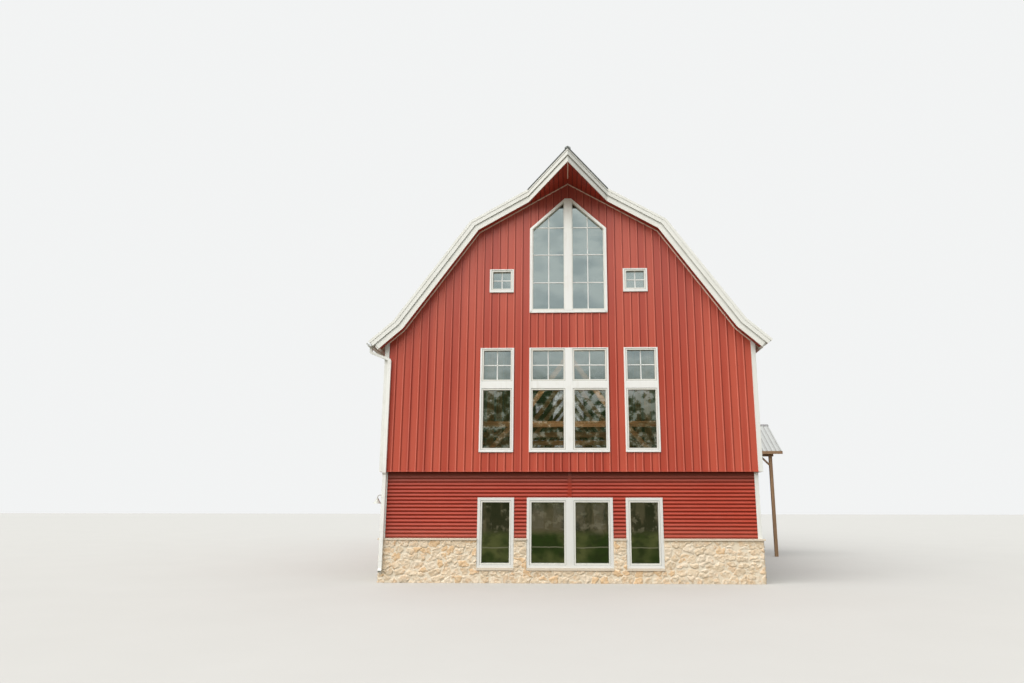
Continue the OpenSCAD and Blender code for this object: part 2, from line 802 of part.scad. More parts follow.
// Trims
module corner_trim(x, y, z0, z1, w) {
    difference() {
        box(x - w, x + corner_t, y - corner_t, y + w, z0, z1);
        box(x - big, x, y, y + big, 0, big);
    }
}
module corner_trims() {
    color(TRIM) both_sides() both_ends() {
        difference() {
            corner_trim(hw, yf, upper_z, ridge_z, corner_w);
            along_y(yf - past, yf + past) polygon(concat(full_line(0, past),
                [[big, ridge_z * 2], [-big, ridge_z * 2]]));
        }
        corner_trim(lower_hw, lower_yf, cap_top, upper_z, low_corner_w);
    }
}
module frieze_trims() {
    color("seashell") both_ends() along_y(yf - frieze_t, yf) intersection() {
        polygon(concat(full_line(0), reversed(full_line(-frieze_w))));
        translate([-hw + corner_w, 0]) square([2 * (hw - corner_w), ridge_z * 2]);
    }
}
module jetty_flashing() {
    color(SHADE) {
        both_ends() box(-hw + corner_w, hw - corner_w, yf - flashing_t, yf, upper_z, upper_z + flashing_h);
        both_sides() box(hw, hw + flashing_t, yf + corner_w, -yf - corner_w, upper_z, upper_z + flashing_h);
    }
}

// Window frames: casing on the wall, frame in the opening, bars between the lights
module wall_frame(face) {
    // children: casing outline, opening outline, light outline
    along_y(face - casing_out, face) difference() {
        children(0);
        children(2);
    }
    along_y(face, face + frame_d) difference() {
        children(1);
        children(2);
    }
}
light = -casing_w - window_fit - sash_w;
low_light = -low_casing_w - window_fit - sash_w;
module low_lights(grow) {
    difference() {
        low_row(grow);
        translate([-mullion_w / 2 - sash_w, 0]) square([mullion_w + 2 * sash_w, upper_z]);
    }
}
module gable_lights(grow) {
    bar = mullion_w / 2 + sash_w;
    difference() {
        translate([0, light_lift]) gable_rows(grow);
        translate([-bar, 0]) square([2 * bar, mid_z + mid_h]);
        translate([-mullion_w / 2 - sash_w / 2, point_z]) square([mullion_w + sash_w, big]);
        translate([-hw, mid_z + rail_z]) square([barn_w, rail_h]);
    }
}
module gable_frames() {
    wall_frame(lower_yf) {
        low_row(0);
        low_row(-low_casing_w - window_fit);
        low_lights(low_light);
    }
    wall_frame(yf) {
        gable_rows(0);
        gable_rows(-casing_w - window_fit);
        gable_lights(light);
    }
}
module front_window_frames() {
    color(TRIM) gable_frames();
}
module rear_window_frames() {
    color(TRIM) mirror([0, 1, 0]) gable_frames();
}
module side_frame(face) {
    along_x(face, face + casing_out) difference() {
        children(0);
        children(2);
    }
    along_x(face - frame_d, face) difference() {
        children(1);
        children(2);
    }
}
module side_frames(skip) {
    side_frame(lower_hw) {
        side_low_row(0, skip);
        side_low_row(-low_casing_w - window_fit, skip);
        side_low_row(low_light, skip);
    }
    side_frame(hw) {
        side_high_row(0, skip);
        side_high_row(-casing_w - window_fit, skip);
        translate([0, light_lift]) side_high_row(light, skip);
    }
}
module side_window_frames() {
    color(TRIM) {
        side_frames(true);
        mirror([1, 0, 0]) side_frames(false);
    }
}
module gable_glass() {
    along_y(lower_yf + glass_in, lower_yf + glass_in + glass_t) low_lights(low_light);
    along_y(yf + glass_in, yf + glass_in + glass_t) gable_lights(light);
}
module front_glass() {
    color(GLASS) gable_glass();
}
module rear_glass() {
    color(GLASS) mirror([0, 1, 0]) gable_glass();
}
module side_panes(skip) {
    along_x(lower_hw - glass_in - glass_t, lower_hw - glass_in) side_low_row(low_light, skip);
    along_x(hw - glass_in - glass_t, hw - glass_in) translate([0, light_lift]) side_high_row(light, skip);
}
module side_glass() {
    color(GLASS) {
        side_panes(true);
        mirror([1, 0, 0]) side_panes(false);
    }
}

// Timber frame of the hall
bents = [for (i = [1 : bays - 1]) yf + i * bay_l];
tie_top = tie_z + tie_s;
module at_bents(w) {
    for (y = bents) along_y(y - w / 2, y + w / 2) children();
}
module hall_posts() {
    x0 = post_x - post_s / 2;
    x1 = post_x + post_s / 2;
    z_in = lower_line_z(x1, deck_foot) - purlin_h;
    color(TIMBER) both_sides() at_bents(post_s)
        polygon([[x0, floor_z], [x1, floor_z], [x1, z_in], [x0, z_in]]);
}
module tie_beams() {
    x0 = post_x - post_s / 2;
    x1 = post_x + post_s / 2;
    color(TIMBER) {
        at_bents(tie_s) translate([-x0, tie_z]) square([2 * x0, tie_s]);
        both_sides() at_bents(tie_s) translate([x1, tie_z]) square([hw - wall_t - x1, tie_s]);
    }
}
module truss_struts() {
    apex = tie_top + strut_rise;
    lean = atan2(strut_rise, strut_x);
    king = strut_s / 2;
    foot = strut_s / sin(lean);
    drop = strut_s / cos(lean);
    face = post_x - post_s / 2;
    slope = strut_rise / strut_x;
    color(TIMBER) {
        both_sides() at_bents(strut_s) polygon([[strut_x, tie_top], [strut_x - foot, tie_top],
            [king, apex - drop - slope * king], [king, apex - slope * king]]);
        at_bents(strut_s) translate([-king, apex - drop - slope * king])
            square([2 * king, ridge_at(deck_foot)[1] - purlin_h - apex + drop + slope * king]);
        both_sides() at_bents(strut_s) polygon([[face, tie_z - brace_drop], [face - brace_run, tie_z],
            [face - brace_run + foot, tie_z], [face, tie_z - brace_drop + foot]]);
    }
}
module roof_purlins() {
    x0 = post_x - post_s / 2;
    x1 = post_x + post_s / 2;
    z0 = lower_line_z(x1, deck_foot) - purlin_h;
    half = strut_s / 2;
    drop = half * tan(upper_pitch);
    top = ridge_at(deck_foot)[1];
    color(TIMBER) {
        both_sides() along_y(yf + wall_t, -yf - wall_t) polygon([[x0, z0], [x1, z0],
            [x1, lower_line_z(x1, deck_foot)], [x0, lower_line_z(x0, deck_foot)]]);
        along_y(yf + wall_t, -yf - wall_t) polygon([[-half, top - purlin_h], [half, top - purlin_h],
            [half, top - drop], [0, top], [-half, top - drop]]);
    }
}

// Porch over the side entrance
porch_x1 = hw + porch_out;
porch_ridge_z = porch_eave_z + porch_half * tan(porch_pitch);
porch_beam_y = porch_half - porch_beam_in;
porch_post_x = porch_x1 - porch_post_in - porch_post_s / 2;
porch_rise = porch_roof_t / cos(porch_pitch);
module porch_slope() {
    start = hw + rib_h;
    count = floor((porch_x1 - start - rib_foot) / porch_rib_pitch);
    first = (start + porch_x1 - count * porch_rib_pitch) / 2;
    intersection() {
        translate([0, 0, porch_ridge_z]) rotate([porch_pitch, 0, 0])
            translate([0, past, 0]) rotate([90, 0, 0]) linear_extrude(2 * porch_half + past)
            polygon(concat([[start, 0], [start, porch_roof_t]],
                [for (i = [0 : count], p = [[-rib_foot / 2, 0], [-rib_top / 2, porch_rib_h],
                    [rib_top / 2, porch_rib_h], [rib_foot / 2, 0]])
                    [first + i * porch_rib_pitch + p[0], porch_roof_t + p[1]]],
                [[porch_x1, porch_roof_t], [porch_x1, 0]]));
        box(hw, porch_x1 + 1, -porch_half, 0, porch_eave_z - 1, porch_ridge_z + past);
    }
}
module porch_front_roof() {
    color(METAL) translate([0, porch_y, 0]) porch_slope();
}
module porch_rear_roof() {
    color(METAL) translate([0, porch_y, 0]) mirror([0, 1, 0]) porch_slope();
}
porch_beam_top = porch_eave_z + (porch_half - porch_beam_y - porch_post_s / 2) * tan(porch_pitch);
module porch_posts() {
    color(TIMBER) translate([0, porch_y, 0]) both_ends()
        translate([porch_post_x - porch_post_s / 2, porch_beam_y - porch_post_s / 2, 0])
        cube([porch_post_s, porch_post_s, porch_beam_top - porch_beam_h]);
}
module porch_beams() {
    half = porch_post_s / 2;
    color(TIMBER) translate([0, porch_y, 0]) both_ends() {
        along_x(hw + rib_h, porch_post_x + half + porch_beam_past)
            polygon([[-porch_beam_y - half, porch_beam_top - porch_beam_h],
                [-porch_beam_y - half, porch_beam_top],
                [-porch_beam_y + half, porch_beam_top + porch_post_s * tan(porch_pitch)],
                [-porch_beam_y + half, porch_beam_top - porch_beam_h]]);
        box(hw + rib_h, porch_x1, -porch_half - board_t, -porch_half,
            porch_eave_z + porch_rise - porch_board_h, porch_eave_z + porch_rise);
    }
}
module porch_braces() {
    x1 = porch_post_x - porch_post_s / 2;
    z1 = porch_beam_top - porch_beam_h;
    reach = porch_brace_run;
    color(TIMBER) translate([0, porch_y, 0]) both_ends()
        along_y(porch_beam_y - porch_brace_t / 2, porch_beam_y + porch_brace_t / 2)
        polygon([[x1, z1 - reach], [x1, z1 - reach + porch_brace_w], [x1 - reach + porch_brace_w, z1],
            [x1 - reach, z1]]);
}
module door_leaf() {
    leaf = door_w / 2 - 1.5 * door_gap;
    top = door_h - door_gap;
    inner = leaf - 2 * door_stile;
    difference() {
        translate([-door_t, door_gap / 2, 0]) cube([door_t, leaf, top]);
        translate([-door_panel_d, door_gap / 2 + door_stile, 0]) {
            translate([0, 0, door_stile]) cube([door_t, inner, door_rail_z - door_stile]);
            translate([0, 0, door_rail_z + door_stile])
                cube([door_t, inner, top - door_rail_z - 2 * door_stile]);
        }
    }
}
module entrance_doors() {
    color(TRIM) translate([lower_hw - door_in, porch_y, slab_t]) both_ends() door_leaf();
}
lamp_reach = lamp_out - lamp_bend;
module lamp_arm() {
    straight = lamp_reach - plate_t;
    translate([plate_t / 2, 0, 0]) rotate([0, 90, 0])
        cylinder(d = arm_d, h = straight + plate_t / 2, $fn = 24);
    translate([lamp_reach, 0, -lamp_bend]) rotate([90, 0, 0])
        rotate_extrude(angle = 90, $fn = 48) translate([lamp_bend, 0]) circle(d = arm_d, $fn = 24);
    translate([lamp_out, 0, -lamp_bend - shade_neck]) cylinder(d = arm_d, h = shade_neck, $fn = 24);
}
module lamp_shade() {
    r = lamp_d / 2;
    neck = shade_neck_d / 2;
    steps = 8;
    function bell(u) = neck + (r - neck) * pow(1 - u, shade_curve);
    rotate_extrude($fn = 64) polygon(concat(
        [for (i = [0 : steps]) [bell(i / steps), shade_h * i / steps]],
        [[0, shade_h], [0, shade_h - shade_t]],
        [for (i = [steps : -1 : 0]) [bell(i / steps) - shade_t, (shade_h - shade_t) * i / steps]]));
}
module wall_lamp() {
    color(TRIM) translate([-lower_hw - wave_h, yf + lamp_y, lamp_z]) mirror([1, 0, 0]) {
        rotate([0, 90, 0]) cylinder(d = plate_d, h = plate_t, $fn = 32);
        lamp_arm();
        translate([lamp_out, 0, -lamp_bend - shade_neck - shade_h + shade_t / 2]) lamp_shade();
    }
}

ground_slab();
gable_stone_bases();
side_stone_bases();
stone_caps();
front_lower_wall();
rear_lower_wall();
left_lower_wall();
right_lower_wall();
upper_floor();
front_gable_wall();
rear_gable_wall();
left_upper_wall();
right_upper_wall();
left_upper_roof();
right_upper_roof();
lower_roofs();
flared_roofs();
hay_hood();
ridge_cap();
rake_soffits();
eave_soffits();
rake_fascias();
rake_boards();
rake_caps();
eave_fascias();
gutters();
downspouts();
corner_trims();
frieze_trims();
jetty_flashing();
front_window_frames();
rear_window_frames();
side_window_frames();
front_glass();
rear_glass();
side_glass();
hall_posts();
tie_beams();
truss_struts();
roof_purlins();
porch_front_roof();
porch_rear_roof();
porch_posts();
porch_beams();
porch_braces();
entrance_doors();
wall_lamp();
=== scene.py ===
"""Looks of the red barn: materials, stones, window parts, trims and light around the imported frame."""

import math

import bmesh
import bpy
import numpy as np
from mathutils import Matrix, Vector


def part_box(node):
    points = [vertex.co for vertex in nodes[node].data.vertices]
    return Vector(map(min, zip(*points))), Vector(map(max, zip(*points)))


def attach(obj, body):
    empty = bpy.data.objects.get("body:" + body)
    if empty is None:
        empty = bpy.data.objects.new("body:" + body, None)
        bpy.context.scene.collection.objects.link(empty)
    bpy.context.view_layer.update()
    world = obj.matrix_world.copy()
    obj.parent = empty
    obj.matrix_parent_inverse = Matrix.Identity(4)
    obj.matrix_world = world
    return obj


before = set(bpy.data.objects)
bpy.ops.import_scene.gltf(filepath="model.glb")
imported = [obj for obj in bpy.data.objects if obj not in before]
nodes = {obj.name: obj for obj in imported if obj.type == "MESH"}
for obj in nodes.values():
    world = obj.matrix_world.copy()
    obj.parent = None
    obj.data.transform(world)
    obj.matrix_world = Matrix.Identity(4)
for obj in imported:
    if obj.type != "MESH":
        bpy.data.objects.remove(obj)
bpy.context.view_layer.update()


def corners(name):
    """Lowest and highest corner of a node of the frame, to a tenth of a millimetre."""
    return [[round(value, 4) for value in corner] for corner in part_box(name)]


# Sizes of the barn in metres, most of them read from the frame
HALF_W = corners("front_gable_wall")[1][0]
HALF_L = corners("eave_soffits")[1][1]
RIDGE_Z = corners("frieze_trims")[1][2]
UPPER_Z = corners("front_gable_wall")[0][2]
JETTY = round(HALF_W - corners("front_lower_wall")[1][0], 4)
LOW_HALF_W = HALF_W - JETTY
LOW_HALF_L = HALF_L - JETTY
STONE_H = corners("gable_stone_bases")[1][2]
STONE_OUT = round(corners("gable_stone_bases")[1][0] - LOW_HALF_W, 4)
CAP_TOP = corners("stone_caps")[1][2]
SLAB_T = corners("ground_slab")[1][2]
WALL_T = 0.2
BAYS = 8
BAY_L = 2 * HALF_L / BAYS
PORCH_Y = -HALF_L + 3.5 * BAY_L

# Roof: pitch and bends of each slope, overhang of the rake, and the hay hood
UPPER_PITCH = math.radians(30.1)
LOWER_PITCH = math.radians(54.5)
FLARE_PITCH = math.radians(41.3)
KNEE_X = 2.73
BEND_X = HALF_W - 0.52
RAKE_OUT = 0.3
BOARD_T = 0.03
HOOD_HALF = 1.2
HOOD_OUT = 1.297
SOFFIT_BOARD = 0.14
RIDGE_CAP_FOOT, RIDGE_CAP_T, RIDGE_CAP_W = 0.36, 0.04, 0.1
KNEE_Z = RIDGE_Z - KNEE_X * math.tan(UPPER_PITCH)
BEND_Z = KNEE_Z - (BEND_X - KNEE_X) * math.tan(LOWER_PITCH)
SOFFIT_Z = BEND_Z - (HALF_W - BEND_X) * math.tan(FLARE_PITCH)

# Siding: ribs, screws, levels of dust with painted sheen and of splashed grime, inner boards, cap stones,
# waves, and the porch roof's ribs
RIB_PITCH, SCREW_ROWS = 0.2329, 0.61
DUST_AND_SHEEN_FROM, SPLASH_END = (5.5, 10.5), (1.2, 1.7)
LINING_BOARD, CAP_STONE_L = 0.14, 0.762
WAVES = 18
WAVE_PITCH = (UPPER_Z - CAP_TOP) / WAVES
PORCH_RIB_PITCH = 0.19
PORCH_FIRST_RIB = 5.5795

# Windows: middle and width along the wall, then foot and head
SINGLE_W, SINGLE_X = 0.998, 2.114
DOUBLE_W = 2.33
LOW_SINGLE_W, LOW_SINGLE_X = 1.042, 2.104
LOW_DOUBLE_W = 2.44
MID_ROW = ((-SINGLE_X, SINGLE_W), (0.0, DOUBLE_W), (SINGLE_X, SINGLE_W))
LOW_ROW = ((-LOW_SINGLE_X, LOW_SINGLE_W), (0.0, LOW_DOUBLE_W), (LOW_SINGLE_X, LOW_SINGLE_W))
LOW_Z, LOW_H = corners("front_window_frames")[0][2], 1.925
MID_Z, MID_H = 3.597, 3.067
RAIL_Z, RAIL_H = 1.807, 0.309
MID_RAIL = (MID_Z + RAIL_Z, MID_Z + RAIL_Z + RAIL_H)
SMALL_S, SMALL_X, SMALL_Z = 0.735, 2.01, 8.372
POINT_Z, POINT_H, POINT_RISE, POINT_FLAT = 7.735, 2.671, 1.069, 0.1
POINT_CASING = 0.068
POINT_BAR_X = 0.592
POINT_BAR_ZS = (8.693, 9.577, 10.455)
SIDE_H = 2.01
SIDE_Z = UPPER_Z + 0.333 * (SOFFIT_Z - UPPER_Z - SIDE_H)

# Window parts: casing and raised boards, mullion, panes, glazing bars, a gasket round each pane, and grey
# lines of painted shade at the sashes
CASING_OUT = 0.034
BOARD_OUT = (CASING_OUT - 0.002, CASING_OUT + 0.012)
BOARD_EDGE = 0.004
BOARD_STEP = 0.001
MULLION_W = 0.23
MULLION_SASH = 0.042
MULLION_PROUD = 0.004
LIGHT_IN = 0.099
LOW_LIGHT_IN = 0.129
LIGHT_LIFT = 0.022
GLASS_IN = 0.06
SASH_SHOWN = 0.046
BAR_W, BAR_BEVEL = 0.028, 0.005
BAR_OUT = (-GLASS_IN - 0.001, -GLASS_IN + 0.016)
PANE_GASKET, PANE_GASKET_OUT = 0.009, (-GLASS_IN, -GLASS_IN + 0.012)
# Grey lines of painted shade at the edges of the sashes
SASH_SHADE_LINE, SASH_SHADE_LINE_OUT = 0.007, (BOARD_OUT[0], CASING_OUT + 0.003)

# Levels between which the painted reflections on the glass change, and where painted shade of the hood
# darkens them
LOW_ROW_END = (3.0, 3.2)
TRANSOMS_FROM = (5.5, 5.6)
TOP_ROW_FROM = (7.0, 7.1)
OPEN_SKY_FROM = (4.3, 5.3)
GLASS_SHADE_Z = 11.09
NEAR_FACE = 0.012


# Mesh building
class Solid:
    """Collects closed solids in one mesh."""

    def __init__(self):
        self.points = []
        self.faces = []

    def loft(self, rings):
        """A closed solid through a stack of rings, which all have the same number of points."""
        start = len(self.points)
        count = len(rings[0])
        for ring in rings:
            self.points.extend(ring)
        for k in range(len(rings) - 1):
            a = start + k * count
            b = a + count
            for i in range(count):
                j = (i + 1) % count
                self.faces.append((a + i, a + j, b + j, b + i))
        last = start + (len(rings) - 1) * count
        self.faces.append(tuple(range(start + count - 1, start - 1, -1)))
        self.faces.append(tuple(range(last, last + count)))

    def box(self, x0, x1, y0, y1, z0, z1):
        ring = [(x0, y0), (x1, y0), (x1, y1), (x0, y1)]
        self.loft([[(x, y, z) for x, y in ring] for z in (z0, z1)])

    def build(self, name, mat, slot, smooth=False):
        mesh = bpy.data.meshes.new(name)
        mesh.from_pydata(self.points, [], self.faces)
        cleaned = bmesh.new()
        cleaned.from_mesh(mesh)
        bmesh.ops.recalc_face_normals(cleaned, faces=cleaned.faces)
        cleaned.to_mesh(mesh)
        cleaned.free()
        if smooth:
            mesh.polygons.foreach_set("use_smooth", [True] * len(mesh.polygons))
        return finish_piece(name, mesh, mat)


def finish_piece(name, mesh, mat):
    """Puts a mesh in the scene as a fixed piece, with its material."""
    mesh.materials.append(mat)
    obj = bpy.data.objects.new(name, mesh)
    bpy.context.scene.collection.objects.link(obj)
    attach(obj, "root")
    return obj


class Wall:
    """A wall's outer face. at(u, out, z) is the point u along it and out in front of it."""

    def __init__(self, along, sign, face):
        self.along = along
        self.sign = sign
        self.face = face

    def at(self, u, out, z):
        far = self.sign * (self.face + out)
        return (u, far, z) if self.along == "x" else (far, u, z)

    def board(self, solid, u0, u1, z0, z1, out0, out1, bevel=0.004):
        """A board on the wall from out0 to out1, with its front edges eased."""
        def ring(out, ease):
            left, right = u0 + ease, u1 - ease
            foot, head = z0 + ease, z1 - ease
            return [self.at(u, out, z) for u, z in ((left, foot), (right, foot), (right, head), (left, head))]
        solid.loft([ring(out0, 0), ring(out1 - bevel, 0), ring(out1, bevel)])

    def patch(self, solid, u, z, half_w, half_h, out0, out1, bevel):
        """A small board with its middle at u and z."""
        self.board(solid, u - half_w, u + half_w, z - half_h, z + half_h, out0, out1, bevel)

    def plate(self, solid, outline, out0, out1):
        """A flat plate from out0 to out1, of the given outline."""
        solid.loft([[self.at(u, out, z) for u, z in outline] for out in (out0, out1)])


FRONT, REAR = Wall("x", -1, HALF_L), Wall("x", 1, HALF_L)
LEFT, RIGHT = Wall("y", -1, HALF_W), Wall("y", 1, HALF_W)
LOW_FRONT, LOW_REAR = Wall("x", -1, LOW_HALF_L), Wall("x", 1, LOW_HALF_L)
LOW_LEFT, LOW_RIGHT = Wall("y", -1, LOW_HALF_W), Wall("y", 1, LOW_HALF_W)
SIDE_YS = [-HALF_L + (i + 0.5) * BAY_L for i in range(BAYS)]


# Shader building
class Shader:
    """A material's node tree with short calls for the nodes used here."""

    def __init__(self, name, roughness=0.5, metallic=0.0):
        self.mat = bpy.data.materials.new(name)
        self.mat.use_nodes = True
        self.tree = self.mat.node_tree
        self.out = self.tree.nodes["Principled BSDF"]
        self.out.inputs["Roughness"].default_value = roughness
        self.out.inputs["Metallic"].default_value = metallic
        self.place = self.node("ShaderNodeTexCoord").outputs["Object"]
        split = self.node("ShaderNodeSeparateXYZ")
        self.link(self.place, split.inputs[0])
        self.x, self.y, self.z = split.outputs

    def node(self, kind, **settings):
        made = self.tree.nodes.new(kind)
        for key, value in settings.items():
            setattr(made, key, value)
        return made

    def link(self, source, target):
        """Feeds an input with a number, with a colour, or from an output."""
        if isinstance(source, (int, float)):
            target.default_value = source
        elif isinstance(source, tuple):
            alpha = () if len(source) == len(target.default_value) else (1.0,)
            target.default_value = source + alpha
        else:
            self.tree.links.new(source, target)

    def math(self, operation, a, b=0.0):
        made = self.node("ShaderNodeMath", operation=operation)
        self.link(a, made.inputs[0])
        self.link(b, made.inputs[1])
        return made.outputs[0]

    def plus(self, a, b):
        return self.math("ADD", a, b)

    def minus(self, a, b):
        return self.math("SUBTRACT", a, b)

    def times(self, a, b):
        return self.math("MULTIPLY", a, b)

    def absolute(self, a):
        return self.math("ABSOLUTE", a)

    def above(self, a, b):
        return self.math("GREATER_THAN", a, b)

    def below(self, a, b):
        return self.math("LESS_THAN", a, b)

    def step(self, value, low, high):
        """0 below low, 1 above high, and a smooth rise between."""
        made = self.node("ShaderNodeMapRange", interpolation_type="SMOOTHSTEP")
        for key, number in (("Value", value), ("From Min", low), ("From Max", high)):
            self.link(number, made.inputs[key])
        return made.outputs["Result"]

    def scaled(self, sx, sy, sz):
        made = self.node("ShaderNodeVectorMath", operation="MULTIPLY")
        self.link(self.place, made.inputs[0])
        made.inputs[1].default_value = (sx, sy, sz)
        return made.outputs[0]

    def noise(self, scale, detail=4.0, vector=None, rough=0.55):
        made = self.node("ShaderNodeTexNoise")
        self.link(vector or self.place, made.inputs["Vector"])
        made.inputs["Scale"].default_value = scale
        made.inputs["Detail"].default_value = detail
        made.inputs["Roughness"].default_value = rough
        return made.outputs["Fac"]

    def mix(self, fac, a, b):
        made = self.node("ShaderNodeMix", data_type="RGBA")
        self.link(fac, made.inputs[0])
        self.link(a, made.inputs[6])
        self.link(b, made.inputs[7])
        return made.outputs[2]

    def value(self, name):
        """A number that the mesh carries at each point."""
        return self.node("ShaderNodeAttribute", attribute_name=name).outputs["Fac"]

    def stripes(self, value, pitch, width, at=0.0):
        """1 on lines of that width, one every pitch."""
        shifted = self.plus(value, 1000 * pitch - at + pitch / 2)
        off = self.absolute(self.minus(self.math("MODULO", shifted, pitch), pitch / 2))
        return self.minus(1.0, self.step(off, width * 0.4, width * 0.6))

    def color(self, source):
        self.link(source, self.out.inputs["Base Color"])

    def rough(self, source):
        self.link(source, self.out.inputs["Roughness"])

    def bump(self, height, strength, distance):
        made = self.node("ShaderNodeBump")
        made.inputs["Strength"].default_value = strength
        made.inputs["Distance"].default_value = distance
        self.link(height, made.inputs["Height"])
        self.link(made.outputs[0], self.out.inputs["Normal"])


def inside_mask(s):
    """1 within the barn's walls."""
    ax = s.absolute(s.x)
    ay = s.absolute(s.y)
    in_x = s.below(ax, HALF_W - WALL_T + 0.005)
    in_y = s.below(ay, HALF_L - WALL_T + 0.005)
    return s.times(in_x, in_y)


def siding(name, bright, deep, streak, ribbed):
    """Satin red paint on steel, streaked by rain, with boarded linings inside."""
    s = Shader(name, 0.42)
    broad = s.noise(0.35, 3.0)
    fine = s.noise(streak[0], 5.0, s.scaled(*streak[1]))
    red = s.mix(s.step(broad, 0.3, 0.7), deep, bright)
    red = s.mix(s.times(s.step(fine, 0.45, 0.8), 0.3), red, (0.50, 0.12, 0.085))
    red = rib_lines(s, red) if ribbed else wave_lines(s, red)
    # Paler and pinker towards the top: partly dust, partly a painted sheen
    dust_and_painted_light = s.times(s.step(s.z, *DUST_AND_SHEEN_FROM), 0.22)
    red = s.mix(dust_and_painted_light, red, (0.52, 0.19, 0.17))
    splash = s.times(s.minus(1.0, s.step(s.z, *SPLASH_END)), 0.2)
    red = s.mix(s.times(splash, s.noise(3.0)), red, (0.36, 0.22, 0.16))
    boards = s.stripes(s.z, LINING_BOARD, width=0.012)
    wood = s.mix(s.noise(2.0, 4.0, s.scaled(0.6, 0.6, 9.0)), (0.16, 0.10, 0.05), (0.26, 0.17, 0.09))
    lining = s.mix(boards, wood, (0.05, 0.03, 0.015))
    s.color(s.mix(inside_mask(s), red, lining))
    s.out.inputs["Specular IOR Level"].default_value = 0.3
    s.rough(s.plus(0.34, s.times(fine, 0.2)))
    s.bump(s.noise(60.0, 2.0), 0.06, 0.002)
    return s.mat


def rib_lines(s, red):
    """Panels of uneven red, a painted shade on the right of each rib, a painted highlight on its left, and
    screw heads.
    """
    on_gable = s.above(s.absolute(s.y), HALF_L - 0.01)
    on_side = s.minus(1.0, on_gable)
    along = s.plus(s.times(on_gable, s.x), s.times(on_side, s.y))
    # Painted shade: a dark line on the right of each rib
    rib_shade = s.times(s.stripes(along, RIB_PITCH, width=0.030, at=0.030), 0.52)
    # Painted highlight: a light line on the left of each rib
    rib_highlight = s.times(s.stripes(along, RIB_PITCH, width=0.022, at=-0.014), 0.5)
    columns = s.stripes(along, RIB_PITCH, width=0.014, at=0.055)
    screws = s.times(columns, s.stripes(s.z, SCREW_ROWS, width=0.014))
    panel = s.step(s.noise(1.0, 1.0, s.scaled(3.1, 3.1, 0.04)), 0.40, 0.60)
    red = s.mix(0.35, red, s.mix(panel, (0.33, 0.034, 0.017), (0.55, 0.105, 0.060)))
    red = s.mix(rib_highlight, red, (0.70, 0.24, 0.18))
    red = s.mix(rib_shade, red, (0.15, 0.015, 0.009))
    return s.mix(screws, red, (0.16, 0.05, 0.04))


def wave_lines(s, red):
    """Painted shade on the underside of each wave, and a painted shadow under the overhang of the upper wall.
    """
    # Painted shade: a dark band on the underside of each wave
    under = s.times(s.stripes(s.z, WAVE_PITCH, width=0.04, at=CAP_TOP + 0.018), 0.6)
    red = s.mix(under, red, (0.16, 0.012, 0.006))
    # Painted shadow: darker red under the overhang of the upper wall
    jetty_shadow = s.times(s.step(s.z, UPPER_Z - 0.42, UPPER_Z - 0.10), 0.75)
    return s.mix(jetty_shadow, red, (0.13, 0.035, 0.022))


def grime(s):
    """Patches, and the soft grime where they meet streaks that run down."""
    patches = s.noise(2.5, 5.0)
    streaks = s.noise(6.0, 3.0, s.scaled(2.0, 2.0, 0.25))
    return patches, s.times(s.step(s.times(patches, streaks), 0.22, 0.42), 0.3)


def satin(s, patches, roughness):
    """A satin coat, a little duller in the patches, with the finest orange peel."""
    s.rough(s.plus(roughness - 0.06, s.times(patches, 0.14)))
    s.bump(s.noise(90.0, 2.0), 0.04, 0.001)
    return s.mat


def painted(name, base, worn, roughness):
    """Satin paint or coated metal, with soft grime in patches and streaks."""
    s = Shader(name, roughness)
    patches, dirt_and_shade = grime(s)
    s.color(s.mix(dirt_and_shade, base, worn))
    return satin(s, patches, roughness)


def casing_paint():
    """White window frames, paler under the hood as painted light against its shade, and darker low down,
    partly dust and partly painted shade.
    """
    s = Shader("white_window_frame", 0.38)
    patches, dirt_and_shade = grime(s)
    # Painted light: paler paint under the hood, against the hood's shade
    paint = s.mix(s.step(s.z, 9.4, 10.9), (0.80, 0.80, 0.785), (0.97, 0.98, 0.94))
    # Darker low down: partly dust, partly painted shade
    dust_and_painted_light = s.mix(s.step(s.z, 2.6, 3.2), (0.69, 0.69, 0.67), paint)
    s.color(s.mix(dirt_and_shade, dust_and_painted_light, (0.64, 0.61, 0.55)))
    return satin(s, patches, 0.38)


def rake_paint():
    """Cream metal trim, with a soft grey band of painted shade under the step of the upper board."""
    s = Shader("cream_rake_trim", 0.44)
    planes = []
    bends = ((UPPER_PITCH, 0.0, RIDGE_Z), (LOWER_PITCH, KNEE_X, KNEE_Z), (FLARE_PITCH, BEND_X, BEND_Z))
    for pitch, x, z in bends:
        run = s.times(s.minus(s.absolute(s.x), x), math.sin(pitch))
        planes.append(s.plus(run, s.times(s.minus(s.z, z), math.cos(pitch))))
    depth = s.math("MINIMUM", s.math("MAXIMUM", planes[0], planes[1]), planes[2])
    # Painted shade: a soft grey band on the fascia just under the board's step
    dirt_and_shade = s.times(s.minus(s.step(depth, 0.085, 0.125), s.step(depth, 0.15, 0.151)), 0.4)
    patches = s.noise(2.5, 5.0)
    worn = s.times(s.step(patches, 0.45, 0.7), 0.25)
    base = s.mix(worn, (0.76, 0.76, 0.72), (0.58, 0.56, 0.50))
    s.color(s.mix(dirt_and_shade, base, (0.34, 0.34, 0.31)))
    return satin(s, patches, 0.44)


